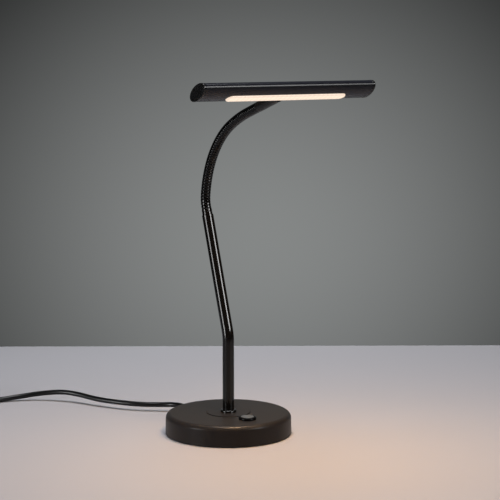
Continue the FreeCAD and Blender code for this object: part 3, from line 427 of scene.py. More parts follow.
def tube(name: str, stations: Iterable[tuple[Matrix, float]],
         radius: Callable[[float, float], float], segments: int) -> Piece:
    """Sweeps a round section along frames.

    Args:
        name: name of the piece.
        stations: (frame, distance along the line in millimetres) of each ring.
        radius: gives the radius in millimetres from that distance and the angle round the line.
        segments: points in each ring.

    Returns:
        The new object.
    """
    rings = []
    for matrix, travel in stations:
        ring = []
        for k in range(segments):
            angle = 2 * math.pi * k / segments
            r = radius(travel, angle) * MM
            ring.append(matrix @ Vector((r * math.cos(angle), r * math.sin(angle), 0)))
        rings.append(ring)
    return loft(name, rings)


def quarter_round(radius: float, steps: int = 8) -> list[Point]:
    """Gives a rounded rim's section: how far each ring stands in from the side and the face."""
    swings = (math.pi / 2 * k / steps for k in range(steps + 1))
    return [(radius * (1 - math.cos(a)), radius * (1 - math.sin(a))) for a in swings]


def oval_ring(half_y: float, half_z: float, x: float, count: int = 96) -> list[Vector]:
    """Gives an oval ring across the light bar, in the bar's frame, in metres."""
    turns = (2 * math.pi * k / count for k in range(count))
    return [Vector((x, half_y * math.cos(a), half_z * math.sin(a))) * MM for a in turns]


def stadium_ring(length: float, half: float, z: float, arc: int = 24) -> list[Vector]:
    """Gives a ring with straight sides and round ends, flat at one height.

    Args:
        length: its whole length.
        half: half its width.
        z: its height.
        arc: segments round each end.

    Returns:
        The ring's points, in metres.
    """
    straight = length / 2 - half
    points = []
    for side, first in ((1, -math.pi / 2), (-1, math.pi / 2)):
        for k in range(arc + 1):
            a = first + math.pi * k / arc
            x = side * straight + half * math.cos(a)
            points.append(Vector((x, half * math.sin(a), z)) * MM)
    return points


# ------------------------------------------------------------------ finishes


class Graph:
    """Adds nodes to a tree and links them by name."""

    def __init__(self, tree: bpy.types.NodeTree) -> None:
        """Keeps the tree that nodes are added to."""
        self.tree = tree

    def add(self, kind: str, values: dict[str | int, object] | None = None,
            **settings: object) -> bpy.types.Node:
        """Adds a node.

        Args:
            kind: the node's class name.
            values: socket name or index to a constant or to an output socket to link from.
            settings: properties of the node.

        Returns:
            The new node.
        """
        node = self.tree.nodes.new(kind)
        for key, value in settings.items():
            setattr(node, key, value)
        for key, value in (values or {}).items():
            socket = node.inputs[key]
            if isinstance(value, Socket):
                self.tree.links.new(value, socket)
            else:
                socket.default_value = value
        return node

    def spread(self, value: Socket, low: float, high: float) -> Socket:
        """Maps a mask from 0 to 1 onto a range of values."""
        node = self.add("ShaderNodeMapRange", {"Value": value, "To Min": low, "To Max": high})
        return node.outputs["Result"]

    def mix(self, factor: Socket, first: RGB, second: RGB) -> Socket:
        """Mixes two colours by a mask."""
        node = self.add("ShaderNodeMix", {0: factor, 6: (*first, 1), 7: (*second, 1)},
                        data_type="RGBA")
        return node.outputs[2]


def blank_material(name: str) -> tuple[bpy.types.Material, Graph]:
    """Makes a material with no nodes and the graph that fills it."""
    material = bpy.data.materials.new(name)
    material.use_nodes = True
    material.node_tree.nodes.clear()
    return material, Graph(material.node_tree)


def grain_group() -> bpy.types.NodeTree:
    """Makes the shared group, or finds it where it is there already.

    Returns:
        The group that makes fine grain, broad cloudiness and dust from a position.
    """
    tree = bpy.data.node_groups.get("SurfaceGrain")
    if tree:
        return tree
    tree = bpy.data.node_groups.new("SurfaceGrain", "ShaderNodeTree")
    face = tree.interface
    face.new_socket("Vector", in_out="INPUT", socket_type="NodeSocketVector")
    for name, value in (("Grain Scale", 1500.0), ("Cloud Scale", 30.0)):
        face.new_socket(name, in_out="INPUT", socket_type="NodeSocketFloat").default_value = value
    for name in ("Grain", "Cloud", "Dust"):
        face.new_socket(name, in_out="OUTPUT", socket_type="NodeSocketFloat")
    graph = Graph(tree)
    entry = graph.add("NodeGroupInput")
    vector = entry.outputs["Vector"]
    grain = graph.add("ShaderNodeTexNoise", {
        "Vector": vector, "Scale": entry.outputs["Grain Scale"], "Detail": 3.0, "Roughness": 0.6})
    cloud = graph.add("ShaderNodeTexNoise", {
        "Vector": vector, "Scale": entry.outputs["Cloud Scale"], "Detail": 4.0, "Roughness": 0.55})
    specks = graph.add("ShaderNodeTexVoronoi", {"Vector": vector, "Scale": 260.0})
    dust = graph.add("ShaderNodeMapRange", {"Value": specks.outputs["Distance"], "From Min": 0.06,
                                            "From Max": 0.1, "To Min": 1.0, "To Max": 0.0})
    graph.add("NodeGroupOutput", {"Grain": grain.outputs["Fac"], "Cloud": cloud.outputs["Fac"],
                                  "Dust": dust.outputs["Result"]})
    return tree


@dataclass(frozen=True)
class Finish:
    """A finish whose colour, roughness and relief vary over the surface."""

    name: str
    dark: RGB
    light: RGB
    rough: Point = (0.4, 0.5)
    grain_scale: float = 1500.0
    grain_height: float = 0.02
    cloud_scale: float = 30.0
    metallic: float = 0.0
    coat: float = 0.0
    coat_rough: float = 0.1
    specular: float = 0.5
    tint: float = 1.0
    dust: float = 0.0
    stretch: RGB = (1.0, 1.0, 1.0)

    def material(self) -> bpy.types.Material:
        """Builds the material once.

        Returns:
            The material.
        """
        found = bpy.data.materials.get(self.name)
        if found:
            return found
        material, graph = blank_material(self.name)
        place = graph.add("ShaderNodeTexCoord").outputs["Object"]
        if self.stretch != (1.0, 1.0, 1.0):
            place = graph.add("ShaderNodeMapping",
                              {"Vector": place, "Scale": self.stretch}).outputs[0]
        group = graph.add("ShaderNodeGroup", {
            "Vector": place, "Grain Scale": self.grain_scale, "Cloud Scale": self.cloud_scale,
        }, node_tree=grain_group())
        colour = graph.mix(group.outputs["Cloud"], self.dark, self.light)
        if self.dust > 0:
            amount = graph.spread(group.outputs["Dust"], 0.0, self.dust)
            dusty = graph.add("ShaderNodeMix", {0: amount, 6: colour, 7: (0.35, 0.33, 0.31, 1)},
                              data_type="RGBA")
            colour = dusty.outputs[2]
        relief = graph.add("ShaderNodeBump", {"Height": group.outputs["Grain"],
                                              "Distance": self.grain_height * MM,
                                              "Strength": 1.0})
        shader = graph.add("ShaderNodeBsdfPrincipled", {
            "Base Color": colour,
            "Roughness": graph.spread(group.outputs["Cloud"], *self.rough),
            "Metallic": self.metallic,
            "Specular IOR Level": self.specular,
            "Specular Tint": (self.tint, self.tint, self.tint, 1.0),
            "Coat Weight": self.coat,
            "Coat Roughness": self.coat_rough,
            "Normal": relief.outputs["Normal"],
        })
        graph.add("ShaderNodeOutputMaterial", {"Surface": shader.outputs[0]})
        material.diffuse_color = (*self.light, 1)
        return material


@dataclass(frozen=True)
class Glow:
    """The finish of the lit opal: a warm even glow, a little brighter over each chip."""

    name: str = "lit_opal"
    dark: RGB = (0.868, 0.692, 0.543)
    light: RGB = (0.902, 0.724, 0.579)
    opal_dark: RGB = (0.10, 0.095, 0.085)
    opal_light: RGB = (0.12, 0.115, 0.105)
    rough: float = 0.35
    strength: float = 1.0

    def material(self) -> bpy.types.Material:
        """Builds the material.

        Returns:
            The material.
        """
        material, graph = blank_material(self.name)
        place = graph.add("ShaderNodeTexCoord").outputs["Object"]
        along = graph.add("ShaderNodeSeparateXYZ", {0: place}).outputs["X"]
        phase = graph.add("ShaderNodeMath", {0: along, 1: 2 * math.pi / (HEAD.chip_pitch * MM)},
                          operation="MULTIPLY").outputs[0]
        wave = graph.add("ShaderNodeMath", {0: phase}, operation="COSINE").outputs[0]
        chips = graph.add("ShaderNodeMapRange", {"Value": wave, "From Min": -1.0, "From Max": 1.0})
        colour = graph.mix(chips.outputs["Result"], self.dark, self.light)
        opal = graph.mix(chips.outputs["Result"], self.opal_dark, self.opal_light)
        shader = graph.add("ShaderNodeBsdfPrincipled", {
            "Base Color": opal,
            "Roughness": self.rough,
            "Emission Color": colour,
            "Emission Strength": self.strength,
        })
        graph.add("ShaderNodeOutputMaterial", {"Surface": shader.outputs[0]})
        return material


class Finishes:
    """The lamp's finishes."""

    POWDER = Finish("powder_coat", (0.0208, 0.0184, 0.0180), (0.0247, 0.0219, 0.0215),
                    rough=(0.46, 0.54), grain_scale=1300.0, coat=0.08, coat_rough=0.24,
                    tint=0.05, dust=0.04)
    PLATE = replace(POWDER, name="plate_coat", dust=0.0)
    # Near-black painted shade for the thin gap round the proud stem plate, put on the plate's rim
    # wall.
    PAINTED_GAP_SHADE = Finish("painted_gap_shade", (0.0015, 0.0013, 0.0012), (0.0025, 0.0022, 0.0020),
                      rough=(0.5, 0.6), grain_scale=1300.0, specular=0.1)
    LACQUER = Finish("gloss_lacquer", (0.0035, 0.0035, 0.0035), (0.0055, 0.0055, 0.0055),
                     rough=(0.11, 0.14), grain_scale=700.0, grain_height=0.001, specular=0.24)
    COLLAR = Finish("collar_lacquer", (0.004, 0.004, 0.004), (0.006, 0.006, 0.006),
                    rough=(0.14, 0.18), grain_scale=700.0, grain_height=0.002, specular=0.64)
    NECK = Finish("neck_lacquer", (0.0015, 0.0015, 0.0015), (0.0025, 0.0025, 0.0025),
                  rough=(0.1, 0.14), grain_height=0.002, specular=0.21)
    SLEEVE = Finish("sleeve_coat", (0.010, 0.009, 0.0085), (0.014, 0.0125, 0.012),
                    rough=(0.32, 0.4), grain_height=0.012, specular=0.22)
    HOUSING = Finish("bar_coat", (0.0124, 0.0132, 0.0190), (0.0154, 0.0162, 0.0228),
                     rough=(0.27, 0.33), grain_scale=900.0, grain_height=0.001, specular=0.22,
                     stretch=(0.25, 1.0, 1.0))
    CAP = Finish("cap_moulding", (0.0165, 0.0165, 0.0165), (0.0200, 0.0200, 0.0200),
                 rough=(0.12, 0.16), grain_scale=1800.0, grain_height=0.003, specular=0.22)
    BEZEL = Finish("bezel_moulding", (0.002, 0.002, 0.002), (0.0035, 0.0033, 0.0033),
                   rough=(0.2, 0.28), grain_scale=1800.0, grain_height=0.006, specular=0.12)
    BUTTON = Finish("button_satin", (0.090, 0.100, 0.113), (0.112, 0.126, 0.140),
                    rough=(0.36, 0.44), grain_scale=1800.0, grain_height=0.012)
    SHEATH = Finish("cord_vinyl", (0.0030, 0.0030, 0.0031), (0.0050, 0.0050, 0.0052),
                    rough=(0.26, 0.32), grain_scale=1100.0, cloud_scale=60.0, specular=0.3)
    RELIEF = Finish("relief_rubber", (0.008, 0.008, 0.008), (0.012, 0.012, 0.012),
                    rough=(0.5, 0.6), specular=0.3)
    RUBBER = Finish("foot_rubber", (0.016, 0.016, 0.016), (0.026, 0.026, 0.025),
                    rough=(0.75, 0.9), grain_scale=900.0, grain_height=0.08)
    ZINC = Finish("zinc_plate", (0.50, 0.51, 0.53), (0.62, 0.63, 0.65), rough=(0.28, 0.42),
                  grain_scale=600.0, grain_height=0.006, metallic=1.0)
    IRON = Finish("cast_iron", (0.045, 0.043, 0.041), (0.075, 0.072, 0.069),
                  rough=(0.6, 0.75), grain_scale=500.0, grain_height=0.12, metallic=0.6)
    ALUMINIUM = Finish("mill_aluminium", (0.70, 0.70, 0.71), (0.78, 0.78, 0.79),
                       rough=(0.3, 0.42), grain_scale=800.0, grain_height=0.006, metallic=1.0,
                       stretch=(0.1, 1.0, 1.0))
    INNER = Finish("inner_moulding", (0.022, 0.022, 0.023), (0.032, 0.032, 0.033),
                   rough=(0.45, 0.6), grain_scale=1200.0)
    BOARD = Finish("solder_mask", (0.010, 0.07, 0.028), (0.016, 0.095, 0.04),
                   rough=(0.3, 0.45), grain_scale=900.0, grain_height=0.01)
    WHITE_BOARD = Finish("white_mask", (0.74, 0.74, 0.72), (0.82, 0.82, 0.80),
                         rough=(0.3, 0.4), grain_scale=900.0, grain_height=0.008)
    PHOSPHOR = Finish("phosphor_gel", (0.82, 0.60, 0.16), (0.92, 0.72, 0.24),
                      grain_scale=2500.0, grain_height=0.01)
    NICKEL = Finish("nickel_plate", (0.62, 0.60, 0.56), (0.72, 0.70, 0.66), rough=(0.14, 0.24),
                    grain_scale=700.0, grain_height=0.004, metallic=1.0)
    TIE = Finish("tie_plastic", (0.03, 0.03, 0.03), (0.045, 0.045, 0.045),
                 rough=(0.35, 0.5), grain_height=0.01)
    FLOOR = Finish("floor_satin", (0.50, 0.49, 0.518), (0.53, 0.52, 0.548), rough=(0.5, 0.6),
                   grain_scale=90.0, grain_height=0.01, cloud_scale=2.0, specular=0.25)
    OPAL = Glow()


def dress(obj: Piece, finish: Finish) -> Piece:
    """Gives a piece its finish.

    Args:
        obj: the piece.
        finish: the finish.

    Returns:
        The piece.
    """
    obj.data.materials.clear()
    obj.data.materials.append(finish.material())
    return obj


# ------------------------------------------------------------------ sub-assemblies


@dataclass(frozen=True)
class BaseAssembly:
    """Base cover, stem plate, collar, bezel and button."""

    sizes: BaseSizes

    def cover(self) -> Piece:
        """Builds the drawn cover with its rolled edge and the recess for the stem plate.

        Returns:
            The cover.
        """
        s = self.sizes
        recess = s.plate_radius + s.plate_gap
        top, under = s.height, s.height - s.wall
        outline = rounded([
            (s.bore, top - s.plate_thick, 0.0),
            (recess, top - s.plate_thick, 0.0),
            (recess, top, s.soft),
            (s.radius - s.draft, top, s.edge),
            (s.radius, s.lift, s.soft),
            (s.radius - s.wall, s.lift, 0.0),
            (s.radius - s.draft - s.wall, under, 0.0),
            (recess + s.wall, under, 0.0),
            (recess + s.wall, under - s.plate_thick, 0.0),
            (s.bore, under - s.plate_thick, 0.0),
        ], 12)
        piece = lathe("cover_skin", outline, 192, closed=True)
        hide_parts("base_cover")
        return dress(piece, Finishes.POWDER)

    def plate(self) -> Piece:
        """Builds the plate under the stem, which stands a little proud, with a softened rim.

        Returns:
            The plate, its rim's wall painted near-black as the shade in the gap round it.
        """
        s = self.sizes
        top = s.height + s.plate_rise
        outline = rounded([
            (s.bore, top, 0.0),
            (s.plate_radius, top, s.plate_edge),
            (s.plate_radius, s.height - s.plate_thick, 0.0),
            (s.bore, s.height - s.plate_thick, 0.0),
        ], 5)
        piece = lathe("plate_skin", outline, 128, closed=True)
        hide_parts("stem_plate")
        dress(piece, Finishes.PLATE)
        # The rim's steep faces get the painted gap shade, a dark line where the gap's shadow
        # falls.
        piece.data.materials.append(Finishes.PAINTED_GAP_SHADE.material())
        rim = (s.plate_radius - s.gap_shade_band) * MM
        for face in piece.data.polygons:
            if abs(face.normal.z) < STEEP and face.center.xy.length > rim:
                face.material_index = 1
        return piece

    def collar(self) -> Piece:
        """Builds the glossy ring at the stem's foot.

        Returns:
            The collar.
        """
        s = self.sizes
        foot = s.height + s.plate_rise
        top = foot + s.collar_height
        bore = ARM.tube_radius + s.collar_gap
        outline = rounded([
            (bore, foot, 0.0),
            (s.collar_radius, foot, 0.0),
            (s.collar_radius, top, s.collar_edge),
            (bore, top, 0.0),
        ], 8)
        piece = lathe("collar_skin", outline, 96, closed=True)
        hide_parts("stem_collar")
        return dress(piece, Finishes.COLLAR)

    def button_place(self) -> Matrix:
        """Gives the button's place on the base."""
        return Matrix.Translation((0, -self.sizes.button_reach * MM, 0))

    def bezel(self) -> Piece:
        """Builds the button's bezel.

        Returns:
            The bezel.
        """
        s = self.sizes
        bore = s.button_radius + s.button_gap
        top = s.height + s.bezel_height
        low = s.height - s.bezel_depth
        outline = rounded([
            (bore, low, 0.0),
            (s.bezel_neck, low, 0.0),
            (s.bezel_neck, s.height, 0.0),
            (s.bezel_radius, s.height, 0.0),
            (s.bezel_radius, top, s.bezel_edge),
            (bore, top, s.bezel_lip),
            (bore, low, 0.0),
        ], 8)
        piece = lathe("bezel_skin", outline, 96, self.button_place())
        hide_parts("button_bezel")
        return dress(piece, Finishes.BEZEL)

    def button(self) -> Piece:
        """Builds the push button, its top slightly dished.

        Returns:
            The button.
        """
        s = self.sizes
        top = s.height + s.bezel_height + s.button_rise
        lip = s.button_radius + s.skirt_lip
        outline = [(r, top - depth) for r, depth in s.button_dish]
        outline += rounded([
            (s.button_flat, top, 0.0),
            (s.button_radius, top, s.button_edge),
            (s.button_radius, top - s.skirt_reach, 0.0),
            (lip, top - s.skirt_reach, 0.0),
            (lip, top - s.skirt_end, 0.0),
            (s.pocket_radius, top - s.skirt_end, 0.0),
            (s.pocket_radius, top - s.pocket_top, 0.0),
            (s.plunger_radius, top - s.pocket_top, 0.0),
            (s.plunger_radius, top - s.plunger_reach, 0.0),
            (0.0, top - s.plunger_reach, 0.0),
        ], 6)
        piece = lathe("button_skin", outline, 96, self.button_place())
        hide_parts("button_cap")
        return dress(piece, Finishes.BUTTON)

    def build(self) -> list[Piece]:
        """Builds each piece and lets it ride on its body.

        Returns:
            The pieces.
        """
        still = [self.cover(), self.plate(), self.collar(), self.bezel()]
        for piece in still:
            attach(piece, Body.STAND.value)
        button = self.button()
        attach(button, Body.BUTTON.value)
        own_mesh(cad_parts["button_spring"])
        return [*still, button]


@dataclass(frozen=True)
class ArmAssembly:
    """Stem, ferrule, gooseneck and sleeve."""

    sizes: ArmSizes
    line: ArmLine

    def stem(self) -> Piece:
        """Builds the bent tube.

        Returns:
            The tube.
        """
        straight, bend = self.line.stretches[0][0], self.line.stretches[1][0]
        near, end = self.sizes.tube_end_ring, self.line.tube_end
        travels = [0.0, near, straight * 0.5, straight - near, straight]
        travels += [straight + bend * k / 16 for k in range(1, 17)]
        travels += [straight + bend + near, end - near, end]
        stations = [(self.line.matrix(t), t) for t in travels]
        piece = tube("stem_skin", stations, lambda _t, _a: self.sizes.tube_radius, 72)
        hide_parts("stem_tube")
        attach(piece, Body.STAND.value)
        return dress(piece, Finishes.LACQUER)

    def ferrule(self) -> Piece:
        """Builds the ferrule's two beads.

        Returns:
            The ferrule.
        """
        s = self.sizes
        root, bead = s.bead_radius - s.bead_depth, s.ferrule / 2
        corners = [(s.ferrule_bore, 0.0, 0.0)]
        for low in (0.0, bead):
            high = low + bead
            corners += [(root, low + 0.02, 0.0), (s.bead_radius, low + 0.1, s.bead_edge),
                        (s.bead_radius, high - 0.1, s.bead_edge), (root, high - 0.02, 0.0)]
        outline = rounded([*corners, (s.ferrule_bore, s.ferrule, 0.0)], 6)
        piece = lathe("ferrule_skin", outline, 72, self.line.matrix(self.line.tube_end))
        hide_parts("neck_ferrule")
        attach(piece, Body.STAND.value)
        return dress(piece, Finishes.LACQUER)

    def rib(self, travel: float, angle: float) -> float:
        """Gives the radius of the wound neck, whose ribs climb round it as one wire.

        Args:
            travel: distance from the foot of the stem, in millimetres.
            angle: angle round the line.

        Returns:
            The radius in millimetres.
        """
        s = self.sizes
        phase = ((travel - self.line.neck_start) / s.rib_pitch + angle / (2 * math.pi)) % 1.0
        crest = max(0.0, 1 - (2 * phase - 1) ** 6) ** 0.5
        return s.neck_radius - s.rib_depth * (1 - crest)

    def neck(self) -> list[Piece]:
        """Builds the gooseneck in stretches, one for each of its links.

        Returns:
            The stretches, from the ferrule to the sleeve.
        """
        s = self.sizes
        pitch = s.neck_length / s.hinges
        pieces = []
        for i in range(s.hinges):
            low = self.line.neck_start + i * pitch - (s.cup_rim + s.neck_lap if i == 0 else 0.0)
            high = self.line.neck_start + (i + 1) * pitch
            count = round((high - low) / s.rib_pitch * s.rings_per_rib)
            travels = [low + (high - low) * k / count for k in range(count + 1)]
            stations = [(self.line.matrix(t), t) for t in travels]
            piece = tube(f"neck_skin_{i + 1}", stations, self.rib, 40)
            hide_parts("neck_root" if i == 0 else f"neck_link_{i}")
            start = self.line.station(self.line.neck_start + i * pitch)[0]
            self.line.station(high)[0]
            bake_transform(piece)
            pieces.append(dress(piece, Finishes.NECK))
        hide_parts("neck_tip")
        return pieces

    def sleeve(self) -> Piece:
        """Builds the smooth sleeve between gooseneck and light bar.

        Returns:
            The sleeve.
        """
        s = self.sizes
        reach = s.sleeve_reach + s.sleeve_lap
        outline = rounded([
            (s.sleeve_bore, 0.0, 0.0),
            (s.sleeve_radius, 0.0, s.sleeve_edge),
            (s.sleeve_radius, reach, 0.0),
            (s.sleeve_bore, reach, 0.0),
        ], 6)
        piece = lathe("sleeve_skin", outline, 72, self.line.matrix(self.line.neck_end))
        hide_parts("head_sleeve")
        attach(piece, Body.HEAD.value)
        return dress(piece, Finishes.SLEEVE)

    def build(self) -> list[Piece]:
        """Builds the pieces, from the stem's foot to the head, and gives them."""
        return [self.stem(), self.ferrule(), *self.neck(), self.sleeve()]


@dataclass(frozen=True)
class HeadAssembly:
    """Housing, end caps and diffuser of the light bar."""

    sizes: HeadSizes
    matrix: Matrix = field(default_factory=head_matrix)

    def placed(self, ring: Iterable[Vector]) -> list[Vector]:
        """Moves a ring from the bar's frame to the row frame."""
        return [self.matrix @ p for p in ring]

    def housing(self) -> Piece:
        """Builds the oval housing and cuts its window.

        Returns:
            The housing.
        """
        s = self.sizes
        end = s.length / 2 - s.cap_thick
        xs = [end * k / 12 for k in range(-12, 13)]
        rings = [oval_ring(s.half_width, s.half_thick, x, 128) for x in xs]
        inside = [oval_ring(s.half_width - s.wall, s.half_thick - s.wall, x, 128)
                  for x in reversed(xs)]
        rings = [self.placed(r) for r in rings + inside]
        piece = loft("housing_skin", [*rings, rings[0]], caps=False)
        half, length = s.window_half + s.window_gap, s.window_length + 2 * s.window_gap
        window = [self.placed(stadium_ring(length, half, z)) for z in (-2 * s.half_thick, 0.0)]
        cutter = loft("window_cutter", window)
        cutter.hide_render = True
        opening = piece.modifiers.new("window", "BOOLEAN")
        opening.operation = "DIFFERENCE"
        opening.solver = "EXACT"
        opening.object = cutter
        piece.modifiers.move(1, 0)
        graph = bpy.context.evaluated_depsgraph_get()
        cut = bpy.data.meshes.new_from_object(piece.evaluated_get(graph))
        piece.modifiers.clear()
        piece.data = cut
        bpy.data.objects.remove(cutter)
        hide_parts("head_housing")
        return dress(piece, Finishes.HOUSING)

    def cap(self, side: int) -> Piece:
        """Builds an end cap: an oval plate with a rolled rim and a shallow dished face.

        Args:
            side: -1 for the left end and 1 for the right.

        Returns:
            The cap.
        """
        s = self.sizes
        half_y, half_z = s.half_width + s.cap_overhang, s.half_thick + s.cap_overhang
        inner, outer = s.length / 2 - s.cap_thick, s.length / 2
        steps = [(inset, inner + x) for inset, x in s.cap_back]
        steps += [(inset, outer - depth) for inset, depth in quarter_round(s.cap_edge)]
        steps += [(inset, outer - depth) for inset, depth in s.cap_dish]
        rings = [self.placed(oval_ring(half_y - inset, half_z - inset, side * x, 96))
                 for inset, x in steps]
        name = "cap_left" if side < 0 else "cap_right"
        piece = loft(f"{name}_skin", rings)
        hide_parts(name)
        return dress(piece, Finishes.CAP)

    def diffuser(self) -> Piece:
        """Builds the opal strip with its softened rim.

        Returns:
            The diffuser.
        """
        s = self.sizes
        face = -s.half_thick - s.proud
        steps = [(0.0, -s.diffuser_root)]
        steps += [(inset, face + depth) for inset, depth in quarter_round(s.diffuser_edge)]
        steps.append((s.diffuser_flat, face))
        rings = [self.placed(stadium_ring(s.window_length - 2 * inset, s.window_half - inset, z))
                 for inset, z in steps]
        piece = loft("diffuser_skin", rings)
        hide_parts("diffuser")
        piece.data.materials.append(Finishes.OPAL.material())
        return piece

    def build(self) -> list[Piece]:
        """Builds each piece and lets it ride on the head.

        Returns:
            The pieces.
        """
        pieces = [self.housing(), self.cap(-1), self.cap(1), self.diffuser()]
        for piece in pieces:
            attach(piece, Body.HEAD.value)
        return pieces


@dataclass(frozen=True)
class CordAssembly:
    """Strain relief, mains cord with its put-away coil, tie and plug."""

    sizes: CordSizes

    def relief(self) -> Piece:
        """Builds the tapered strain relief with its bending grooves, shallower towards its end.

        Returns:
            The strain relief.
        """
        s = self.sizes
        length, skin = s.relief_length, s.relief_skin
        outline = [(s.relief_bore, skin), (s.flange_radius, skin)]
        outline += rounded([
            (s.flange_radius, 2 * skin, 0.0),
            (s.flange_radius, s.flange_thick, 0.5),
            (s.relief_root, s.flange_thick, 0.0),
        ], 4)
        pitch = (length - s.groove_span) / s.grooves
        for k in range(s.grooves):
            depth = s.groove_depth * (1 - 0.5 * k / s.grooves)
            for along, share in ((0.0, 0), (0.12, 0), (0.2, 1), (0.42, 1), (0.5, 0)):
                z = s.groove_start + (k + along) * pitch
                taper = s.relief_root + (s.relief_end - s.relief_root) * z / length
                outline.append((taper - depth * share, z))
        outline += [(s.relief_end + skin, length - 0.5), (s.relief_end - 0.3, length),
                    (s.relief_bore, length)]
        where = (Matrix.Translation((0, BASE.radius * MM, CORD_ROUTE[0][2]))
                 @ Matrix.Rotation(-math.pi / 2, 4, "X"))
        piece = lathe("relief_skin", outline, 64, where)
        return dress(piece, Finishes.RELIEF)

    def coil_points(self) -> list[tuple[float, float, float]]:
        """Gives the control points of the coil: a layer winding inwards and one back outwards.

        Returns:
            The points, in metres in the row frame.
        """
        s = self.sizes
        rise = s.cross_turns
        total = s.low_turns + rise + s.high_turns
        count = round(total * s.points_per_turn)
        low, high = s.radius + s.layer_gap, 3 * s.radius + 1.5 * s.layer_gap
        points = []
        for k in range(1, count + 1):
            turn = total * k / count
            if turn <= s.low_turns:
                share = turn / s.low_turns
                radius = s.first_radius + (s.inner_radius - s.first_radius) * share
                z = low
            elif turn <= s.low_turns + rise:
                share = (turn - s.low_turns) / rise
                radius = s.inner_radius
                z = low + (high - low) * share * share * (3 - 2 * share)
            else:
                radius = s.inner_radius + s.step * (turn - s.low_turns - rise)
                z = high
            angle = -math.pi / 2 - 2 * math.pi * turn
            points.append(((s.coil_x + radius * math.cos(angle)) * MM,
                           (s.coil_y + radius * math.sin(angle)) * MM, z * MM))
        return points

    def cord(self) -> Piece:
        """Builds the cord as one smooth spline from the relief to the plug.

        Returns:
            The cord, as a curve.
        """
        points = [*CORD_ROUTE, *self.coil_points(), *TAIL_ROUTE]
        curve = bpy.data.curves.new("mains_lead", "CURVE")
        curve.dimensions = "3D"
        curve.bevel_depth = self.sizes.radius * MM
        curve.bevel_resolution = 6
        curve.resolution_u = 8
        spline = curve.splines.new("NURBS")
        spline.points.add(len(points) - 1)
        for control, point in zip(spline.points, points):
            control.co = (*point, 1.0)
        spline.order_u = 3
        spline.use_endpoint_u = True
        obj = add_object("mains_lead", curve)
        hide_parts("mains_cord", "cord_coil", "cord_tail")
        return dress(obj, Finishes.SHEATH)

    def tie_ring(self, grow: float, floor: float, along: float) -> list[Vector]:
        """Gives one ring round the coil's turns.

        Args:
            grow: how far it stands outside the turns.
            floor: the height of its lowest side.
            along: how far it is moved along the cord.

        Returns:
            The ring's points, in metres in the row frame.
        """
        s = self.sizes
        turn = Matrix.Rotation(math.radians(s.tie_turn), 4, "Z")
        where = Matrix.Translation(Vector((s.coil_x, s.coil_y, 0)) * MM) @ turn
        low = s.inner_radius - s.radius - s.tie_inset[0] - grow
        high = s.first_radius + s.radius - s.tie_inset[1] + grow
        top = 4 * s.radius + s.tie_thick
        shoulder, crown = top - s.tie_slope, top + grow
        corners = [(low, floor), (high, floor), (high, shoulder), (high - s.tie_shoulder, crown),
                   (low + s.tie_shoulder, crown), (low, shoulder)]
        return [where @ (Vector((r, along, z)) * MM) for r, z in corners]

    def tie(self) -> Piece:
        """Builds the tie that holds the coil's turns together.

        Returns:
            The tie.
        """
        half = self.sizes.tie_half
        inner, outer = zip((0.0, self.sizes.tie_thick), self.sizes.tie_floors)
        rings = [self.tie_ring(*section, along) for section, along in
                 ((inner, -half), (outer, -half), (outer, half), (inner, half))]
        bm = bmesh.new()
        rows = [[bm.verts.new(p) for p in ring] for ring in rings]
        for row, following in zip(rows, [*rows[1:], rows[0]]):
            for k, vert in enumerate(row):
                ahead = (k + 1) % len(row)
                bm.faces.new((vert, row[ahead], following[ahead], following[k]))
        piece = finish_mesh("cord_tie", bm, 30.0)
        return dress(piece, Finishes.TIE)

    def build(self) -> list[Piece]:
        """Returns:
            The pieces.
        """
        relief, cord, tie = self.relief(), self.cord(), self.tie()
        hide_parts("strain_relief")
        for piece in (relief, cord, tie):
            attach(piece, Body.STAND.value)
        length = spline_length(cord)
        LOG.info("cord length %.3f m", length)
        return [relief, cord, tie]


def spline_length(obj: Piece) -> float:
    """Measures the middle line of a curve object.

    Args:
        obj: a curve object with one spline.

    Returns:
        Its length in metres.
    """
    bare = obj.data.copy()
    bare.bevel_depth = 0.0
    probe = add_object("length_probe", bare)
    graph = bpy.context.evaluated_depsgraph_get()
    mesh = bpy.data.meshes.new_from_object(probe.evaluated_get(graph))
    length = sum((mesh.vertices[a].co - mesh.vertices[b].co).length
                 for a, b in (edge.vertices for edge in mesh.edges))
    bpy.data.objects.remove(probe)
    bpy.data.curves.remove(bare)
    bpy.data.meshes.remove(mesh)
    return length


NODE_FINISHES: dict[Finish, tuple[str, ...]] = {
    Finishes.RUBBER: ("foot_pad",),
    Finishes.ZINC: ("bottom_plate", "bottom_screws", "stem_nipple", "lock_washer", "stem_nut",
                    "button_spring", "cord_clamp", "clamp_screws", "neck_block"),
    Finishes.IRON: ("ballast_disc",),
    Finishes.LACQUER: ("neck_ferrule",),
    Finishes.BEZEL: ("bezel_nut",),
    Finishes.INNER: ("switch_housing", "push_switch", "driver_case"),
    Finishes.BOARD: ("dimmer_board", "driver_board"),
    Finishes.SHEATH: ("inner_cord", "switch_lead", "stem_lead", "head_lead",
                      *(f"neck_lead_{i}" for i in range(1, ARM.hinges))),
    Finishes.ALUMINIUM: ("led_carrier",),
    Finishes.WHITE_BOARD: ("led_board",),
    Finishes.PHOSPHOR: ("led_chips",),
    Finishes.RELIEF: ("plug_body",),
    Finishes.NICKEL: ("plug_pins",),
}


def dress_nodes() -> None:
    """Gives every CAD node a finish, also those that another piece stands for."""
    chosen = {name: finish for finish, names in NODE_FINISHES.items() for name in names}
    for name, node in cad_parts.items():
        material = chosen.get(name, Finishes.NECK).material()
        if not node.material_slots:
            node.data.materials.append(material)
        for slot in node.material_slots:
            slot.material = material


# ------------------------------------------------------------------ studio


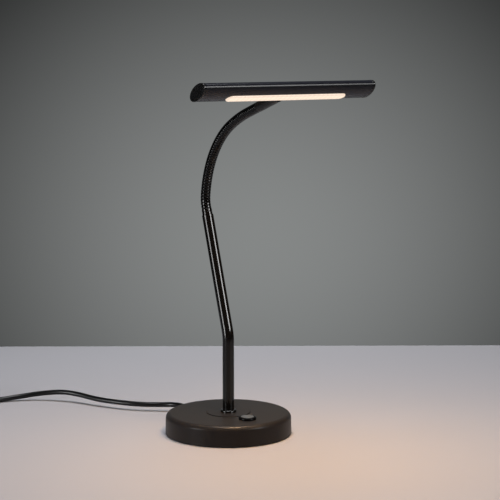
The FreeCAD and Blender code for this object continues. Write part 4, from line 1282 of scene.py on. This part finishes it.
@dataclass(frozen=True)
class Studio:
    """Floor, backdrop, lights and camera, in metres, degrees and, for the lens, millimetres."""

    azimuth: float = 31.0
    distance: float = 1.698
    height: float = 0.4242
    tilt: float = 7.6
    pan: float = 0.78
    lens: float = 116.6
    floor_half: float = 6.0
    backdrop_gap: float = 0.486
    backdrop_half: float = 1.6
    # the backdrop's painted pool of light: its centre, reach, squeeze and colours
    glow_centre: Point = (0.041, 0.147)
    glow_reach: float = 0.667
    glow_squeeze: float = 1.13
    glow_middle: RGB = (0.233, 0.242, 0.2395)
    glow_edge: RGB = (0.001, 0.001, 0.001)
    room_colour: RGB = (0.60, 0.615, 0.63)
    room_light: float = 0.05

    def at(self, right: float, away: float, up: float) -> Vector:
        """Gives the point this far right of the base, behind it and above the floor."""
        return Matrix.Rotation(math.radians(-self.azimuth), 3, "Z") @ Vector((right, away, up))

    def aim(self, obj: bpy.types.Object, place: Vector, look: Vector) -> None:
        """Hangs a light or camera at a place, facing a direction."""
        obj.location = place
        obj.rotation_mode = "QUATERNION"
        obj.rotation_quaternion = look.to_track_quat("-Z", "Y")

    def camera(self) -> None:
        """Makes the camera."""
        data = bpy.data.cameras.new("camera")
        data.sensor_width = 36.0
        data.lens = self.lens
        data.clip_start = 0.05
        data.clip_end = 50.0
        obj = add_object("camera", data)
        pan, tilt = math.radians(self.pan), math.radians(self.tilt)
        look = self.at(math.sin(pan) * math.cos(tilt), math.cos(pan) * math.cos(tilt),
                       -math.sin(tilt))
        self.aim(obj, self.at(0, -self.distance, self.height), look)
        bpy.context.scene.camera = obj

    def light(self, name: str, place: Vector, target: Vector, size: Point, power: float,
              colour: RGB = (1.0, 1.0, 1.0), glossy: bool = True,
              diffuse: bool = True) -> bpy.types.Object:
        """Makes an area light.

        Args:
            name: name of the light.
            place: where it hangs.
            target: the point that it faces.
            size: its width and height in metres.
            power: its power in watts.
            colour: its colour.
            glossy: whether reflections show it.
            diffuse: whether it lights matt surfaces.

        Returns:
            The light.
        """
        data = bpy.data.lights.new(name, "AREA")
        data.shape = "RECTANGLE"
        data.size, data.size_y = size
        data.energy = power
        data.color = colour
        obj = add_object(name, data)
        self.aim(obj, place, target - place)
        obj.visible_camera = False
        obj.visible_glossy = glossy
        obj.visible_diffuse = diffuse
        return obj

    def lights(self) -> None:
        """Makes the softboxes and the light that the diffuser gives."""
        middle = self.at(0, 0, 0.2)
        self.light("top_softbox", self.at(0.0, 0.1, 1.5), self.at(0, 0.05, 0), (0.65, 0.9), 18.8,
                   (0.965, 0.985, 1.02))
        self.light("left_fill", self.at(-2.2, -1.3, 0.59), middle, (0.8, 0.56), 12.0,
                   glossy=False)
        self.light("left_strip", self.at(-2.2, -1.3, 0.435), middle, (0.8, 0.87), 37.5,
                   diffuse=False)
        self.light("right_strip", self.at(2.2, -1.3, 1.3), middle, (0.9, 0.72), 55.0,
                   diffuse=False)
        matrix = head_matrix()
        face = matrix @ Vector((0, 0, -(HEAD.half_thick + HEAD.proud + HEAD.light_gap) * MM))
        below = matrix @ Vector((0, 0, -0.1))
        window = (HEAD.window_length * MM, 2 * HEAD.window_half * MM)
        strip = self.light("diffuser_light", face, below, window, 1.12, (1.0, 0.57, 0.23),
                           glossy=False)
        sheen = self.light("diffuser_sheen", face, below, window, 6.0, (1.0, 0.62, 0.33),
                           diffuse=False)
        base = bpy.data.collections.new("sheen_receivers")
        base.objects.link(bpy.data.objects["cover_skin"])
        sheen.light_linking.receiver_collection = base
        for lamp in (strip, sheen):
            lamp.rotation_quaternion = matrix.to_quaternion()
            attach(lamp, Body.HEAD.value)

    def backdrop_material(self) -> bpy.types.Material:
        """Makes the backdrop's painted light: a glowing grey sheet whose brightness stands in for
        the pool of light on it.

        Returns:
            The material: a painted pool of light, brightest a little above the floor and darker
                outwards.
        """
        material, graph = blank_material("backdrop_painted_light")
        place = graph.add("ShaderNodeTexCoord").outputs["Object"]
        right, up = self.glow_centre
        centre = self.at(right, self.backdrop_gap, up)
        shifted = graph.add("ShaderNodeVectorMath", {0: place, 1: tuple(centre)},
                            operation="SUBTRACT").outputs[0]
        shares = (1.0, 1.0, self.glow_squeeze)
        squeezed = graph.add("ShaderNodeVectorMath", {0: shifted, 1: shares},
                             operation="MULTIPLY").outputs[0]
        distance = graph.add("ShaderNodeVectorMath", {0: squeezed}, operation="LENGTH").outputs[1]
        fall = graph.add("ShaderNodeMapRange", {
            "Value": distance, "From Max": self.glow_reach, "To Min": 1.0, "To Max": 0.0,
        }, interpolation_type="SMOOTHSTEP").outputs["Result"]
        # Painted light: the backdrop glows brightest at the pool's centre and fades to near black
        # outwards.
        colour = graph.mix(fall, self.glow_edge, self.glow_middle)
        glow = graph.add("ShaderNodeEmission", {"Color": colour, "Strength": 1.0})
        clear = graph.add("ShaderNodeBsdfTransparent")
        back = graph.add("ShaderNodeNewGeometry").outputs["Backfacing"]
        mixed = graph.add("ShaderNodeMixShader",
                          {0: back, 1: glow.outputs[0], 2: clear.outputs[0]})
        graph.add("ShaderNodeOutputMaterial", {"Surface": mixed.outputs[0]})
        return material

    def sheet(self, name: str, corners: Sequence[Vector], material: bpy.types.Material) -> None:
        """Makes a flat stage piece from its corners.

        Args:
            name: name of the piece.
            corners: its corners, counter-clockwise from its front.
            material: its material.
        """
        bm = bmesh.new()
        bm.faces.new([bm.verts.new(c) for c in corners])
        mesh = bpy.data.meshes.new(name)
        bm.to_mesh(mesh)
        bm.free()
        mesh.materials.append(material)
        obj = add_object(name, mesh)

    def stage(self) -> None:
        """Makes the floor, the backdrop behind it and the world's soft light."""
        half = self.floor_half
        corners = [Vector((x, y, 0)) for x, y in ((-half, -half), (half, -half), (half, half),
                                                  (-half, half))]
        self.sheet("floor", corners, Finishes.FLOOR.material())
        end, half = self.backdrop_gap, self.backdrop_half
        corners = [self.at(x, end, z) for x, z in ((-half, 0), (half, 0), (half, half),
                                                   (-half, half))]
        self.sheet("backdrop", corners, self.backdrop_material())
        world = bpy.data.worlds.new("soft_room")
        world.use_nodes = True
        background = world.node_tree.nodes["Background"]
        background.inputs["Color"].default_value = (*self.room_colour, 1)
        background.inputs["Strength"].default_value = self.room_light
        bpy.context.scene.world = world

    def build(self) -> None:
        """Builds the whole studio."""
        self.camera()
        self.stage()
        self.lights()
        bpy.context.scene.view_settings.view_transform = "Standard"


def main() -> None:
    """Builds the scene and reports each piece."""
    logging.basicConfig(level=logging.INFO, format="%(name)s: %(message)s")
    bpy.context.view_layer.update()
    for assembly in (CordAssembly(CORD), BaseAssembly(BASE), ArmAssembly(ARM, LINE),
                     HeadAssembly(HEAD)):
        for piece in assembly.build():
            LOG.info("%s: %s", type(assembly).__name__, piece.name)
    Studio().build()
    dress_nodes()


if __name__ == "__main__":
    main()
